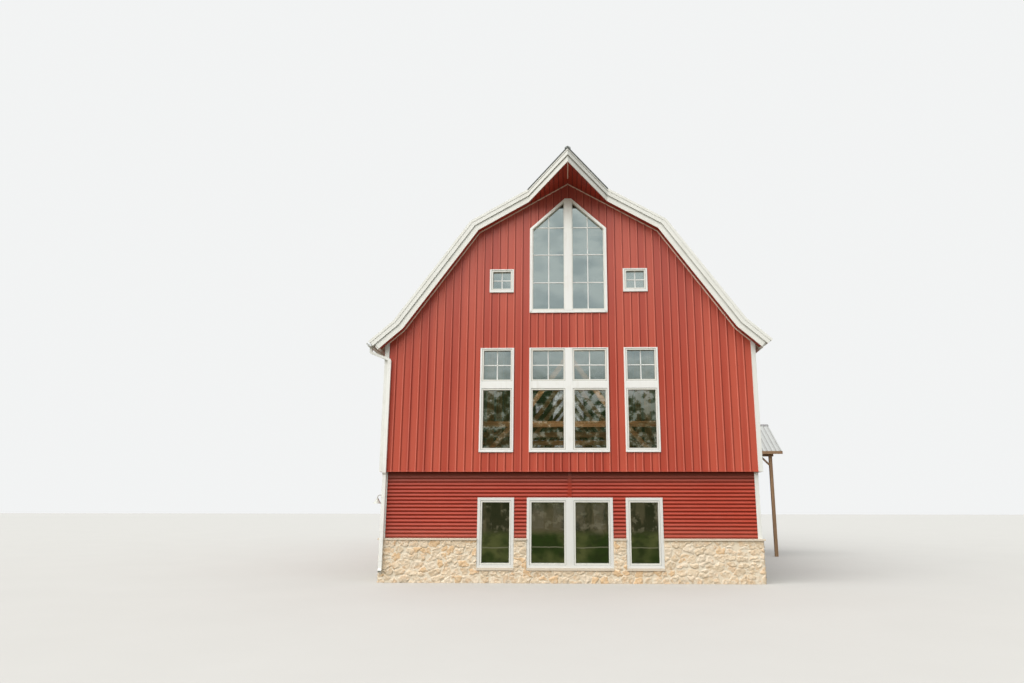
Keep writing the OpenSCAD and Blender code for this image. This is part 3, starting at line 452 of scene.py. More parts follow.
def roof_metal(name, ribs=None):
    """Pale grey sheet steel, each panel a little different, with painted shade along given ribs (pitch,
    place).
    """
    s = Shader(name, 0.4, 0.2)
    panel = s.noise(0.9, 2.0, s.scaled(0.05, 2.4, 0.05))
    streaks = s.noise(3.0, 5.0, s.scaled(0.5, 7.0, 0.5))
    tone = s.mix(panel, (0.42, 0.43, 0.42), (0.53, 0.54, 0.525))
    tone = s.mix(s.times(s.step(streaks, 0.5, 0.8), 0.3), tone, (0.35, 0.35, 0.33))
    if ribs:
        # Painted shade: a dark line along each given rib
        rib_shade_lines = s.stripes(s.x, ribs[0], width=0.040, at=ribs[1])
        tone = s.mix(s.times(rib_shade_lines, 0.8), tone, (0.18, 0.16, 0.15))
    s.color(tone)
    s.rough(s.plus(0.32, s.times(streaks, 0.16)))
    s.bump(s.noise(1.6, 2.0, s.scaled(0.8, 3.0, 0.8)), 0.25, 0.004)
    return s.mat


def stone():
    """Split limestone: cream, tan and orange stones by the sheet's values, in smeared light joints."""
    s = Shader("split_limestone", 0.85)
    tone = s.value("tone")
    grain = s.noise(14.0, 7.0, rough=0.7)
    layers = ((s.step(tone, 0.5, 0.85), (0.71, 0.57, 0.41)),
              (s.times(s.step(tone, 0.86, 0.9), 0.6), (0.66, 0.40, 0.18)),
              (s.times(s.step(s.noise(4.0, 7.0), 0.50, 0.64), 0.6), (0.66, 0.45, 0.27)),
              (s.times(s.step(s.noise(9.0, 6.0), 0.60, 0.70), 0.5), (0.60, 0.33, 0.15)),
              (s.times(s.step(grain, 0.48, 0.70), 0.6), (0.84, 0.77, 0.66)))
    face = s.mix(s.step(tone, 0.0, 0.5), (0.71, 0.59, 0.45), (0.63, 0.50, 0.35))
    for share, tint in layers:
        face = s.mix(share, face, tint)
    smear = s.plus(s.value("joint"), s.times(s.minus(grain, 0.5), 1.4))
    s.color(s.mix(s.times(s.step(smear, 0.5, 0.95), 0.7), face, (0.76, 0.68, 0.55)))
    s.bump(s.plus(grain, s.times(s.noise(45.0, 4.0), 0.4)), 0.6, 0.012)
    return s.mat


def mortar():
    """Rough lime mortar behind the stones."""
    s = Shader("lime_mortar", 0.95)
    s.color(s.mix(s.noise(9.0, 6.0), (0.62, 0.54, 0.43), (0.80, 0.74, 0.64)))
    s.bump(s.noise(70.0, 5.0), 0.5, 0.006)
    return s.mat


def cap_stone():
    """Cream cap stones, with a joint where one ends and the next begins."""
    s = Shader("cream_cap_stone", 0.8)
    joints = [s.stripes(along, CAP_STONE_L, width=0.008, at=at) for along, at in ((s.x, 0.2), (s.y, 0.3))]
    joint = s.math("MAXIMUM", *joints)
    face = s.mix(s.noise(5.0, 6.0), (0.56, 0.47, 0.37), (0.70, 0.61, 0.50))
    s.color(s.mix(s.times(joint, 0.55), face, (0.34, 0.29, 0.23)))
    s.bump(s.minus(s.noise(40.0, 5.0), joint), 0.35, 0.004)
    return s.mat


def timber(name, light, dark, axis):
    """Sawn timber with its grain along one axis of the barn."""
    s = Shader(name, 0.62)
    stretch = [11.0, 11.0, 11.0]
    stretch["xyz".index(axis)] = 0.7
    grain = s.noise(1.6, 8.0, s.scaled(*stretch), 0.65)
    rings = s.noise(0.8, 3.0)
    wood = s.mix(s.step(grain, 0.35, 0.68), dark, light)
    s.color(s.mix(s.times(rings, 0.3), wood, dark))
    s.bump(grain, 0.35, 0.004)
    return s.mat


def glass():
    """Double panes: the outer face carries a painted reflection of foliage low down and of a grey sky above;
    the inner one is clear.
    """
    s = Shader("window_glass", 0.03, 1.0)
    low = s.minus(1.0, s.step(s.z, *LOW_ROW_END))
    top = s.step(s.z, *TRANSOMS_FROM)
    open_sky = s.times(s.step(s.z, *OPEN_SKY_FROM), s.step(s.x, -0.5, 1.0))
    blots = s.plus(s.noise(4.2, 5.0, s.scaled(1.0, 1.0, 1.15), 0.66), s.times(open_sky, 0.085))
    # Painted reflection of foliage, with white glints of sky
    leaf_reflection = s.mix(s.step(blots, 0.47, 0.53), (0.05, 0.10, 0.045), (0.27, 0.34, 0.25))
    leaf_reflection = s.mix(s.step(blots, 0.568, 0.588), leaf_reflection, (0.98, 1.0, 0.98))
    # Painted reflection of a cloudy grey sky
    cloudy = s.step(s.noise(0.8, 3.0, s.scaled(1.0, 1.0, 1.5)), 0.36, 0.62)
    sky_reflection = s.mix(cloudy, (0.37, 0.435, 0.43), (0.51, 0.57, 0.545))
    # Painted shade: nearly black glass at the top of the highest panes
    shade = s.above(s.z, GLASS_SHADE_Z)
    upper = s.mix(shade, s.mix(top, leaf_reflection, sky_reflection), (0.03, 0.035, 0.03))
    s.color(s.mix(low, upper, low_reflection(s, blots)))
    outer = s.math("MAXIMUM", outer_face(s, s.absolute(s.y), HALF_L), outer_face(s, s.absolute(s.x), HALF_W))
    more = s.plus(s.times(low, 0.47), s.times(top, 0.27))
    more = s.plus(more, s.times(s.step(s.z, *TOP_ROW_FROM), 0.10))
    front = s.minus(1.0, s.times(s.above(s.y, 1.0), 0.3))
    shown = s.times(s.times(s.plus(0.45, more), front), outer)
    s.link(s.plus(shown, 0.03), s.out.inputs["Alpha"])
    s.bump(s.noise(1.4, 2.0), 0.3, 0.02)
    return s.mat


def low_reflection(s, blots):
    """Painted reflection: lawn low down, with a pale kerb line over it, and darker shapes above."""
    broad = s.noise(1.1, 3.0)
    level = s.plus(s.z, s.times(broad, 0.12))
    lawn = s.mix(s.step(broad, 0.40, 0.60), (0.07, 0.12, 0.035), (0.23, 0.27, 0.11))
    lawn = s.mix(s.times(s.step(blots, 0.48, 0.62), 0.5), lawn, (0.06, 0.08, 0.035))
    upright = s.noise(1.2, 5.0, s.scaled(2.2, 2.2, 0.8))
    shapes = s.mix(s.step(upright, 0.43, 0.57), (0.09, 0.10, 0.055), (0.25, 0.23, 0.15))
    shapes = s.mix(s.times(s.step(blots, 0.56, 0.59), 0.5), shapes, (0.50, 0.48, 0.38))
    scene = s.mix(s.step(level, 1.30, 1.55), lawn, shapes)
    kerb = s.minus(s.step(level, 0.992, 1.002), s.step(level, 1.022, 1.032))
    return s.mix(s.times(kerb, 0.6), scene, (0.56, 0.58, 0.46))


def outer_face(s, far, wall_half):
    """1 on the outer faces of the panes of the upper and the lower wall."""
    upper = s.above(far, wall_half - GLASS_IN - NEAR_FACE)
    low_face = wall_half - JETTY - GLASS_IN
    lower = s.below(s.absolute(s.minus(far, low_face)), NEAR_FACE)
    return s.math("MAXIMUM", upper, lower)


def plain(name, base, roughness, metallic=0.0, bumpy=0.0):
    """One colour with a fine speck, and grain where bumpy is given."""
    s = Shader(name, roughness, metallic)
    dark = tuple(0.8 * part for part in base)
    s.color(s.mix(s.noise(30.0, 4.0), dark, base))
    if bumpy:
        s.bump(s.noise(120.0, 3.0), bumpy, 0.002)
    return s.mat


RAIN_STREAKS = (5.0, (2.2, 2.2, 0.12))
WAVE_STREAKS = (4.0, (0.2, 0.2, 3.0))
UPPER_RED = siding("ribbed_red_siding", (0.47, 0.075, 0.042), (0.41, 0.056, 0.030), RAIN_STREAKS, True)
LOWER_RED = siding("corrugated_red_siding", (0.395, 0.041, 0.015), (0.35, 0.033, 0.012), WAVE_STREAKS, False)
SEAM = painted("soffit_board_joint", (0.12, 0.015, 0.008), (0.08, 0.01, 0.006), 0.6)
SOFFIT = painted("dark_red_soffit", (0.40, 0.045, 0.022), (0.26, 0.035, 0.018), 0.5)
ROOF = roof_metal("pale_roof_metal")
PORCH_ROOF = roof_metal("pale_porch_metal", (PORCH_RIB_PITCH, PORCH_FIRST_RIB + 0.035))
WHITE = painted("offwhite_trim", (0.74, 0.745, 0.715), (0.58, 0.56, 0.50), 0.42)
CREAM = rake_paint()
CASING = casing_paint()
SASH = painted("greyish_window_sash", (0.72, 0.71, 0.66), (0.56, 0.54, 0.48), 0.4)
EAVE = painted("beige_eave_board", (0.62, 0.56, 0.47), (0.46, 0.41, 0.34), 0.5)
PIPE = painted("white_drain_metal", (0.82, 0.82, 0.79), (0.58, 0.56, 0.50), 0.32)
LAMP_PAINT = painted("greyish_lamp_enamel", (0.56, 0.58, 0.54), (0.46, 0.46, 0.42), 0.4)
DOOR_PAINT = painted("grey_white_door", (0.66, 0.665, 0.64), (0.54, 0.52, 0.47), 0.45)
FRIEZE = painted("pinkish_frieze", (0.95, 0.78, 0.66), (0.80, 0.60, 0.50), 0.5)
EDGE = plain("grey_drip_edge", (0.16, 0.17, 0.16), 0.4, 0.6)
STONE, MORTAR, CAP = stone(), mortar(), cap_stone()
TIMBER_X = timber("oiled_timber_across", (0.50, 0.33, 0.19), (0.30, 0.18, 0.09), "x")
TIMBER_Y = timber("oiled_timber_along", (0.48, 0.31, 0.17), (0.29, 0.17, 0.08), "y")
TIMBER_Z = timber("oiled_timber_upright", (0.48, 0.31, 0.17), (0.29, 0.17, 0.08), "z")
PORCH_Z = timber("stained_porch_post", (0.40, 0.25, 0.14), (0.22, 0.13, 0.07), "z")
PORCH_X = timber("stained_porch_beam", (0.40, 0.25, 0.14), (0.22, 0.13, 0.07), "x")
GLASS = glass()
CONCRETE = plain("floated_concrete", (0.44, 0.43, 0.41), 0.9, bumpy=0.3)
GLASS_LOW = plain("door_glass", (0.045, 0.055, 0.04), 0.05)
PORCH_CAP = plain("porch_cap_metal", (0.34, 0.33, 0.33), 0.4, 0.3)
BULB = plain("frosted_bulb", (0.85, 0.84, 0.78), 0.35)
# Grey of the gasket round each pane and of the lines of painted shade at the sashes
GASKET_AND_SHADE_LINE = plain("grey_gasket_and_shade_line", (0.20, 0.20, 0.19), 0.6)
STEEL = plain("dull_steel", (0.42, 0.42, 0.41), 0.4, 0.8)

NODE_LOOKS = (
    (CONCRETE, "ground_slab"),
    (MORTAR, "gable_stone_bases side_stone_bases"),
    (CAP, "stone_caps"),
    (LOWER_RED, "front_lower_wall rear_lower_wall left_lower_wall right_lower_wall"),
    (UPPER_RED, "front_gable_wall rear_gable_wall left_upper_wall right_upper_wall jetty_flashing"),
    (ROOF, "left_upper_roof right_upper_roof lower_roofs flared_roofs hay_hood ridge_cap"),
    (SOFFIT, "rake_soffits"),
    (EAVE, "eave_soffits"),
    (CREAM, "rake_fascias rake_boards rake_caps eave_fascias"),
    (PIPE, "gutters downspouts"),
    (WHITE, "corner_trims"),
    (FRIEZE, "frieze_trims"),
    (SASH, "front_window_frames rear_window_frames side_window_frames"),
    (GLASS, "front_glass rear_glass side_glass"),
    (TIMBER_X, "tie_beams truss_struts"),
    (TIMBER_Y, "upper_floor roof_purlins"),
    (TIMBER_Z, "hall_posts"),
    (PORCH_ROOF, "porch_front_roof porch_rear_roof"),
    (PORCH_X, "porch_beams porch_braces"),
    (PORCH_Z, "porch_posts"),
    (DOOR_PAINT, "entrance_doors"),
    (LAMP_PAINT, "wall_lamp"),
)
for look, names in NODE_LOOKS:
    for name in names.split():
        nodes[name].data.materials.clear()
        nodes[name].data.materials.append(look)


# Stone base: one sheet of relief per wall, where each point belongs to the nearest stone
STONE_WIDE, STONE_ROW = 0.27, 0.185
STONE_LEAN = 0.72
STONE_REACH = 0.6
JOINT_HALF = 0.016
JOINT_SLOPE = 0.034
MORTAR_OUT = 0.006
STONE_MOST, STONE_LEAST = 0.036, 0.002
STONE_SUNK = -0.004
GABLE_STEP, SIDE_STEP = 0.015, 0.025
DOOR_W, DOOR_H, DOOR_CASING = 1.83, 2.1, 0.055
SILL_FOOT = LOW_Z - 0.06


def split_lines(marks, step):
    """Grid lines through all the marks, about that step apart."""
    marks = sorted(marks)
    lines = [marks[0]]
    for a, b in zip(marks, marks[1:]):
        count = max(1, round((b - a) / step))
        lines.extend(a + (b - a) * (i + 1) / count for i in range(count))
    return np.array(lines)


def lumps(rng, us, zs, size, height):
    """Smooth noise about zero on a grid, in lumps of that size, from lowest to highest that height."""
    cu, cz = (us - us[0]) / size, (zs - zs[0]) / size
    lattice = rng.random((int(cz[-1]) + 2, int(cu[-1]) + 2))
    iu, iz = cu.astype(int), cz.astype(int)
    fu, fz = cu - iu, cz - iz
    fu, fz = fu * fu * (3 - 2 * fu), fz * fz * (3 - 2 * fz)
    below, above = lattice[iz], lattice[iz + 1]
    low = below[:, iu] * (1 - fu) + below[:, iu + 1] * fu
    high = above[:, iu] * (1 - fu) + above[:, iu + 1] * fu
    return height * (low + (high - low) * fz[:, None] - 0.5)


def stone_seeds(rng, half, height):
    """Middles of stones in uneven courses, with now and then two small stones in place of one."""
    seeds = []
    rows = round(height / STONE_ROW)
    for row in range(rows):
        u = -half - STONE_WIDE * rng.random()
        while u < half:
            wide = STONE_WIDE * rng.uniform(0.55, 1.5)
            u += wide
            z = (row + 0.5 + rng.uniform(-0.3, 0.3)) * height / rows
            if rng.random() < 0.16:
                seeds += [(u - wide / 2, z - 0.05), (u - wide / 2 + 0.02, z + 0.06)]
            else:
                seeds.append((u - wide / 2, z))
    return np.array(seeds)


def nearest_stones(seeds, us, grid_u, grid_z):
    """Number of the nearest seed at each point, and how much farther the next one is."""
    best = np.full(grid_u.shape, 9.0)
    second = best.copy()
    stone = np.zeros(grid_u.shape, dtype=int)
    for k, (u, z) in enumerate(seeds):
        start, end = np.searchsorted(us, (u - STONE_REACH, u + STONE_REACH))
        part = np.s_[:, start:end]
        away = np.hypot(STONE_LEAN * (grid_u[part] - u), grid_z[part] - z)
        nearer = away < best[part]
        second[part] = np.where(nearer, best[part], np.minimum(second[part], away))
        best[part] = np.where(nearer, away, best[part])
        stone[part][nearer] = k
    return stone, second - best


def stone_relief(rng, us, zs, half):
    """Height of the stones and mortar at each point of the grid, with tone and joint share."""
    flat_u, flat_z = np.meshgrid(us, zs)
    grid_u = flat_u + lumps(rng, us, zs, 0.12, 0.10) + lumps(rng, us, zs, 0.05, 0.04)
    grid_z = flat_z + lumps(rng, us, zs, 0.12, 0.09) + lumps(rng, us, zs, 0.05, 0.04)
    seeds = stone_seeds(rng, half, STONE_H)
    stone, gap = nearest_stones(seeds, us, grid_u, grid_z)
    gap += lumps(rng, us, zs, 0.14, 0.05)
    count = len(seeds)
    ease = np.clip((gap - JOINT_HALF) / JOINT_SLOPE, 0, 1)
    ease = ease * ease * (3 - 2 * ease)
    proud = rng.uniform(0.012, 0.030, count)[stone]
    tilt_u = rng.uniform(-0.05, 0.05, count)[stone]
    tilt_z = rng.uniform(-0.09, 0.09, count)[stone]
    chips = lumps(rng, us, zs, 0.06, 0.020) + lumps(rng, us, zs, 0.03, 0.012)
    face = proud + tilt_u * (grid_u - seeds[stone, 0]) + tilt_z * (grid_z - seeds[stone, 1]) + chips
    mortar = MORTAR_OUT + lumps(rng, us, zs, 0.06, 0.005)
    out = np.clip(mortar + (face - mortar) * ease, STONE_LEAST, STONE_MOST)
    return flat_u, flat_z, out, rng.random(count)[stone], 1 - ease


def stone_sheet(name, wall, half, holes, seed, step):
    """One wall's sheet, with its edges and the edges of its holes turned into the wall."""
    rng = np.random.default_rng(seed)
    us = split_lines({-half, half}.union(edge for hole in holes for edge in hole[:2]), step)
    zs = split_lines({0.0, STONE_H}.union(hole[2] for hole in holes), step)
    grid_u, grid_z, out, tone, joint = stone_relief(rng, us, zs, half)
    sunk = np.isclose(abs(grid_u), half)
    keep = np.ones((len(zs) - 1, len(us) - 1), dtype=bool)
    mid_u, mid_z = (us[1:] + us[:-1]) / 2, (zs[1:] + zs[:-1]) / 2
    for a, b, foot in holes:
        on_edge = (np.isclose(grid_u, a) | np.isclose(grid_u, b)) & (grid_z > foot - 1e-6)
        on_foot = np.isclose(grid_z, foot) & (grid_u > a) & (grid_u < b) & (foot > 0)
        sunk |= on_edge | on_foot
        keep &= ~(((mid_u > a) & (mid_u < b))[None, :] & (mid_z > foot)[:, None])
    out[sunk] = STONE_SUNK
    far = wall.sign * (wall.face + STONE_OUT + out)
    columns = (grid_u, far, grid_z) if wall.along == "x" else (far, grid_u, grid_z)
    points = np.stack([part.ravel() for part in columns], axis=1)
    rows, ends = np.nonzero(keep)
    corner = rows * len(us) + ends
    faces = np.stack([corner, corner + 1, corner + len(us) + 1, corner + len(us)], axis=1)
    if (wall.along == "x") != (wall.sign < 0):
        faces = faces[:, ::-1]
    mesh = bpy.data.meshes.new(name)
    mesh.from_pydata(points.tolist(), [], faces.tolist())
    for key, values in (("tone", tone), ("joint", joint)):
        carried = mesh.attributes.new(key, "FLOAT", "POINT")
        carried.data.foreach_set("value", values.ravel().astype(np.float32))
    mesh.polygons.foreach_set("use_smooth", [True] * len(mesh.polygons))
    return finish_piece(name, mesh, STONE)


low_holes = [(x - w / 2, x + w / 2, SILL_FOOT) for x, w in LOW_ROW]
left_holes = [(y - LOW_SINGLE_W / 2, y + LOW_SINGLE_W / 2, LOW_Z) for y in SIDE_YS]
right_holes = [hole for hole, y in zip(left_holes, SIDE_YS) if abs(y - PORCH_Y) > 0.1]
right_holes.append((PORCH_Y - DOOR_W / 2 - DOOR_CASING, PORCH_Y + DOOR_W / 2 + DOOR_CASING, 0.0))
gable_half, side_half = LOW_HALF_W + STONE_OUT, LOW_HALF_L + STONE_OUT
stone_sheet("front_stones", LOW_FRONT, gable_half, low_holes, 11, GABLE_STEP)
stone_sheet("rear_stones", LOW_REAR, gable_half, low_holes, 12, GABLE_STEP)
stone_sheet("left_stones", LOW_LEFT, side_half, left_holes, 13, SIDE_STEP)
stone_sheet("right_stones", LOW_RIGHT, side_half, right_holes, 14, SIDE_STEP)


# Windows: raised boards over the frames, a gasket round each pane, grey lines of painted shade at the sashes,
# glazing bars
def light_rects(x, w, z0, z1, inset, lift, rail):
    """The panes of one window, by column and row; rail gives the foot and head of a rail between rows."""
    left, right = x - w / 2 + inset, x + w / 2 - inset
    gap = MULLION_W / 2 + MULLION_SASH
    columns = [(left, x - gap), (x + gap, right)] if w in (DOUBLE_W, LOW_DOUBLE_W) else [(left, right)]
    foot, head = z0 + inset + lift, z1 - inset + lift
    rows = [(foot, rail[0]), (rail[1], head)] if rail else [(foot, head)]
    return columns, rows


def window(wall, boards, gaskets_and_shade_lines, bars, x, w, z0, h, rail=None):
    """Raised boards of one window, a gasket round each pane and grey lines of painted shade at the edges of
    its sashes; its bars, if it has any, cross in each pane of the top row.
    """
    z1 = z0 + h
    inset, lift = (LIGHT_IN, LIGHT_LIFT) if bars else (LOW_LIGHT_IN, 0.0)
    columns, rows = light_rects(x, w, z0, z1, inset, lift, rail)
    foot, head = z0 + BOARD_EDGE, z1 - BOARD_EDGE
    us = [x - w / 2 + BOARD_EDGE, x + w / 2 - BOARD_EDGE]
    zs = [foot, head]
    us[1:1] = [side for a, b in columns for side in (a - SASH_SHOWN, b + SASH_SHOWN)]
    zs[1:1] = [side for a, b in rows for side in (a - SASH_SHOWN, b + SASH_SHOWN)]
    low, high = BOARD_OUT
    for i in range(0, len(us), 2):
        wall.board(boards, us[i], us[i + 1], foot, head, low, high)
    for k in range(0, len(zs), 2):
        for i in range(1, len(us) - 1, 2):
            wall.board(boards, us[i], us[i + 1], zs[k], zs[k + 1], low, high - BOARD_STEP)
    for a, b in columns:
        for c, d in rows:
            rim(wall, gaskets_and_shade_lines, a, b, c, d, PANE_GASKET, PANE_GASKET_OUT)
            sash = (a - SASH_SHOWN, b + SASH_SHOWN, c - SASH_SHOWN, d + SASH_SHOWN)
            # A grey line of painted shade round the edge of the sash
            rim(wall, gaskets_and_shade_lines, *sash, SASH_SHADE_LINE, SASH_SHADE_LINE_OUT)
        if bars:
            crossed(wall, bars, a, b, *rows[-1])


def rim(wall, solid, u0, u1, z0, z1, width, out):
    """A thin frame just inside the given edges."""
    a, b = u0 + width, u1 - width
    sides = ((u0, a, z0, z1), (b, u1, z0, z1), (a, b, z0, z0 + width), (a, b, z1 - width, z1))
    for left, right, foot, head in sides:
        wall.plate(solid, [(left, foot), (right, foot), (right, head), (left, head)], *out)


def upright_bar(wall, solid, u, z0, z1):
    wall.board(solid, u - BAR_W / 2, u + BAR_W / 2, z0, z1, *BAR_OUT, BAR_BEVEL)


def level_bar(wall, solid, u0, u1, z):
    wall.board(solid, u0, u1, z - BAR_W / 2, z + BAR_W / 2, *BAR_OUT, BAR_BEVEL)


def crossed(wall, solid, u0, u1, z0, z1):
    """Glazing bars: one upright and one level, in the middle of a light."""
    upright_bar(wall, solid, (u0 + u1) / 2, z0, z1)
    level_bar(wall, solid, u0, u1, (z0 + z1) / 2)


def pointed_parts(wall, boards, bars):
    """The pointed pair: flat casing, mullion with its flat head, and bars that stop at the slope."""
    half, edge, flat = DOUBLE_W / 2, POINT_CASING, POINT_FLAT
    shoulder = POINT_Z + POINT_H
    slope = POINT_RISE / half
    head = shoulder + POINT_RISE
    top = head - slope * flat
    wide = edge * math.hypot(1, slope)
    bend = shoulder - wide + slope * edge
    low, high = BOARD_OUT
    upright = ((half, POINT_Z), (half - edge, POINT_Z + edge), (half - edge, bend), (half, shoulder))
    sloping = ((half, shoulder), (half - edge, bend), (flat, top - wide), (flat, top))
    for sign in (-1, 1):
        for outline in (upright, sloping):
            wall.plate(boards, [(sign * u, z) for u, z in outline], low, high)
        bar_head = head - slope * POINT_BAR_X - wide
        upright_bar(wall, bars, sign * POINT_BAR_X, POINT_Z + LIGHT_IN, bar_head)
        for z in POINT_BAR_ZS:
            reach = min(half - LIGHT_IN, (head - z - wide) / slope)
            level_bar(wall, bars, *sorted((sign * reach, sign * (MULLION_W / 2))), z)
    foot = POINT_Z + edge
    sill = ((-half + edge, POINT_Z), (half - edge, POINT_Z), (half - edge, foot), (-half + edge, foot))
    wall.plate(boards, sill, low, high - BOARD_STEP)
    wall.plate(boards, ((-flat, top - edge), (flat, top - edge), (flat, top), (-flat, top)), low, high)
    mullion_head = head - slope * MULLION_W / 2 - 0.03
    wall.board(boards, -MULLION_W / 2, MULLION_W / 2, foot, mullion_head, low, high + MULLION_PROUD)


def gable_windows(end, wall, low):
    boards, gaskets_and_shade_lines, bars = Solid(), Solid(), Solid()
    for x, w in MID_ROW:
        window(wall, boards, gaskets_and_shade_lines, bars, x, w, MID_Z, MID_H, MID_RAIL)
    for x in (-SMALL_X, SMALL_X):
        window(wall, boards, gaskets_and_shade_lines, bars, x, SMALL_S, SMALL_Z, SMALL_S)
    pointed_parts(wall, boards, bars)
    for x, w in LOW_ROW:
        window(low, boards, gaskets_and_shade_lines, None, x, w, LOW_Z, LOW_H)
    build_windows(end, boards, gaskets_and_shade_lines, bars)


def side_windows(side, wall, low):
    boards, gaskets_and_shade_lines, bars = Solid(), Solid(), Solid()
    for y in SIDE_YS:
        if wall.sign > 0 and abs(y - PORCH_Y) < 0.1:
            continue
        window(wall, boards, gaskets_and_shade_lines, bars, y, SINGLE_W, SIDE_Z, SIDE_H)
        window(low, boards, gaskets_and_shade_lines, None, y, LOW_SINGLE_W, LOW_Z, LOW_H)
    build_windows(side, boards, gaskets_and_shade_lines, bars)


def build_windows(side, boards, gaskets_and_shade_lines, bars):
    boards.build(side + "_window_boards", CASING, "white_trim")
    gaskets_and_shade_lines.build(side + "_window_gaskets_and_shade_lines", GASKET_AND_SHADE_LINE, "white_trim")
    bars.build(side + "_glazing_bars", CASING, "white_trim")


gable_windows("front", FRONT, LOW_FRONT)
gable_windows("rear", REAR, LOW_REAR)
side_windows("left", LEFT, LOW_LEFT)
side_windows("right", RIGHT, LOW_RIGHT)


# Hay hood: grey drip edge on its top, and the seams of its soffit
DRIP = ((0.02, 0.318), (0.054, 0.318), (0.054, 0.352), (0.02, 0.352))
DRIP_PAST = 0.035
SEAM_HALF, SEAM_END, SEAM_DOWN = 0.007, 0.03, 0.012
RIDGE_SEAM_HALF, RIDGE_SEAM_END, RIDGE_SEAM_DOWN = 0.014, 0.4, 0.016
SEAM_UP = 0.01


def slope_z(x, depth):
    """Height of the upper roof's plane at that depth outside the soffit line."""
    return RIDGE_Z + depth / math.cos(UPPER_PITCH) - abs(x) * math.tan(UPPER_PITCH)


RAKE_Y = -HALF_L - RAKE_OUT
HOOD_LEN = math.hypot(HOOD_HALF, HOOD_OUT)
HOOD_N = (HOOD_OUT / HOOD_LEN, -HOOD_HALF / HOOD_LEN)


def hood_point(x, out):
    """Plan point on the hood's face line, moved out by out, at x."""
    level = HOOD_N[0] * HOOD_HALF + HOOD_N[1] * RAKE_Y + out
    return (level - HOOD_N[0] * abs(x)) / HOOD_N[1]


def hood_parts():
    edges = Solid()
    for sign in (-1, 1):
        edges.loft([[(sign * x, hood_point(x, out), slope_z(x, depth)) for out, depth in DRIP]
                    for x in (0.0, HOOD_HALF + DRIP_PAST)])
    tip = hood_point(0.0, 0.0)
    wing, fall = RIDGE_CAP_W * math.cos(UPPER_PITCH), RIDGE_CAP_W * math.sin(UPPER_PITCH)
    under, over = slope_z(0.0, RIDGE_CAP_FOOT), slope_z(0.0, RIDGE_CAP_FOOT + RIDGE_CAP_T)
    outline = [(0.0, over), (wing, over - fall), (wing, under - fall), (0.0, under),
               (-wing, under - fall), (-wing, over - fall)]
    edges.loft([[(x, y, z) for x, z in outline] for y in (tip + 0.001, tip - 0.006)])
    edges.build("hood_drip_edge", EDGE, "roof_metal")
    seams, ridge_seam = Solid(), Solid()
    count = int((HOOD_HALF - BOARD_T) / SOFFIT_BOARD)
    for i in range(-count, count + 1):
        x = i * SOFFIT_BOARD
        tip = hood_point(x, -BOARD_T)
        z = slope_z(x, 0.0)
        if i == 0:
            end, foot = -HALF_L - RIDGE_SEAM_END, z - RIDGE_SEAM_DOWN
            ridge_seam.box(-RIDGE_SEAM_HALF, RIDGE_SEAM_HALF, tip, end, foot, z + SEAM_UP)
        elif -HALF_L - tip > 0.05:
            end, foot = -HALF_L - SEAM_END, z - SEAM_DOWN
            seams.box(x - SEAM_HALF, x + SEAM_HALF, tip, end, foot, z + SEAM_UP)
    seams.build("hood_soffit_seams", SEAM, "dark_soffit")
    ridge_seam.build("hood_ridge_seam", FRIEZE, "cream_trim")


hood_parts()


# Drainage: straps on the downspouts and hangers across the gutter
SPOUT_X, SPOUT_HALF, SPOUT_D = -5.31, 0.05, 0.08
SPOUT_BACK, SPOUT_BACK_LOW = corners("corner_trims")[1][1], corners("stone_caps")[1][1]
STRAP_ZS, STRAP_ZS_LOW = (6.05, 4.75, 3.45), (2.35, 1.4, 0.6)
STRAP_T, STRAP_H = 0.004, 0.032
gutter_low, gutter_high = corners("gutters")
GUTTER_LIP, GUTTER_IN, GUTTER_TOP = -gutter_low[0], -gutter_high[0], gutter_high[2]
HANGERS = 34
HANGER_W, HANGER_T, HANGER_DOWN = 0.028, 0.004, 0.008


def drain_parts():
    straps, hangers = Solid(), Solid()
    for back, levels in ((SPOUT_BACK, STRAP_ZS), (SPOUT_BACK_LOW, STRAP_ZS_LOW)):
        front = back + SPOUT_D
        for end in (-1, 1):
            for z in levels:
                foot, head = z - STRAP_H / 2, z + STRAP_H / 2
                y0, y1 = sorted((end * back, end * (front + STRAP_T)))
                for side in (-1, 1):
                    x0, x1 = sorted((SPOUT_X + side * SPOUT_HALF, SPOUT_X + side * (SPOUT_HALF + STRAP_T)))
                    straps.box(x0, x1, y0, y1, foot, head)
                y0, y1 = sorted((end * front, end * (front + STRAP_T)))
                straps.box(SPOUT_X - SPOUT_HALF, SPOUT_X + SPOUT_HALF, y0, y1, foot, head)
    x0, x1 = -GUTTER_LIP + HANGER_T, -GUTTER_IN - HANGER_T
    head = GUTTER_TOP - HANGER_DOWN
    y = -HALF_L
    while y <= HALF_L:
        hangers.box(x0, x1, y - HANGER_W / 2, y + HANGER_W / 2, head - HANGER_T, head)
        y += 2 * HALF_L / HANGERS
    straps.build("downspout_straps", PIPE, "white_metal")
    hangers.build("gutter_hangers", STEEL, "white_metal")


drain_parts()


# Entrance: panes and bars in the upper panels of the doors, locks, pulls, hinges, casing and jamb linings
DOOR_FACE = corners("entrance_doors")[1][0]
LEAF_W, STILE, DOOR_RAIL_Z = 0.912, 0.12, 0.9
PANE_OUT, DOOR_BAR_OUT, DOOR_BAR_HALF = (-0.016, -0.009), (-0.010, -0.003), 0.011
LOCK_IN, LOCK_Z, PULL_HALF = 0.055, SLAB_T + 1.05, 0.06
HINGE_ZS = (SLAB_T + 0.25, SLAB_T + 1.05, SLAB_T + 1.85)
PANE_RIM, PANE_RIM_OUT, DOOR_EASE = 0.022, (-0.016, -0.001), 0.002
LINING_PROUD, LINING_SUNK, LINING_BACK = 0.0015, 0.003, -0.0745


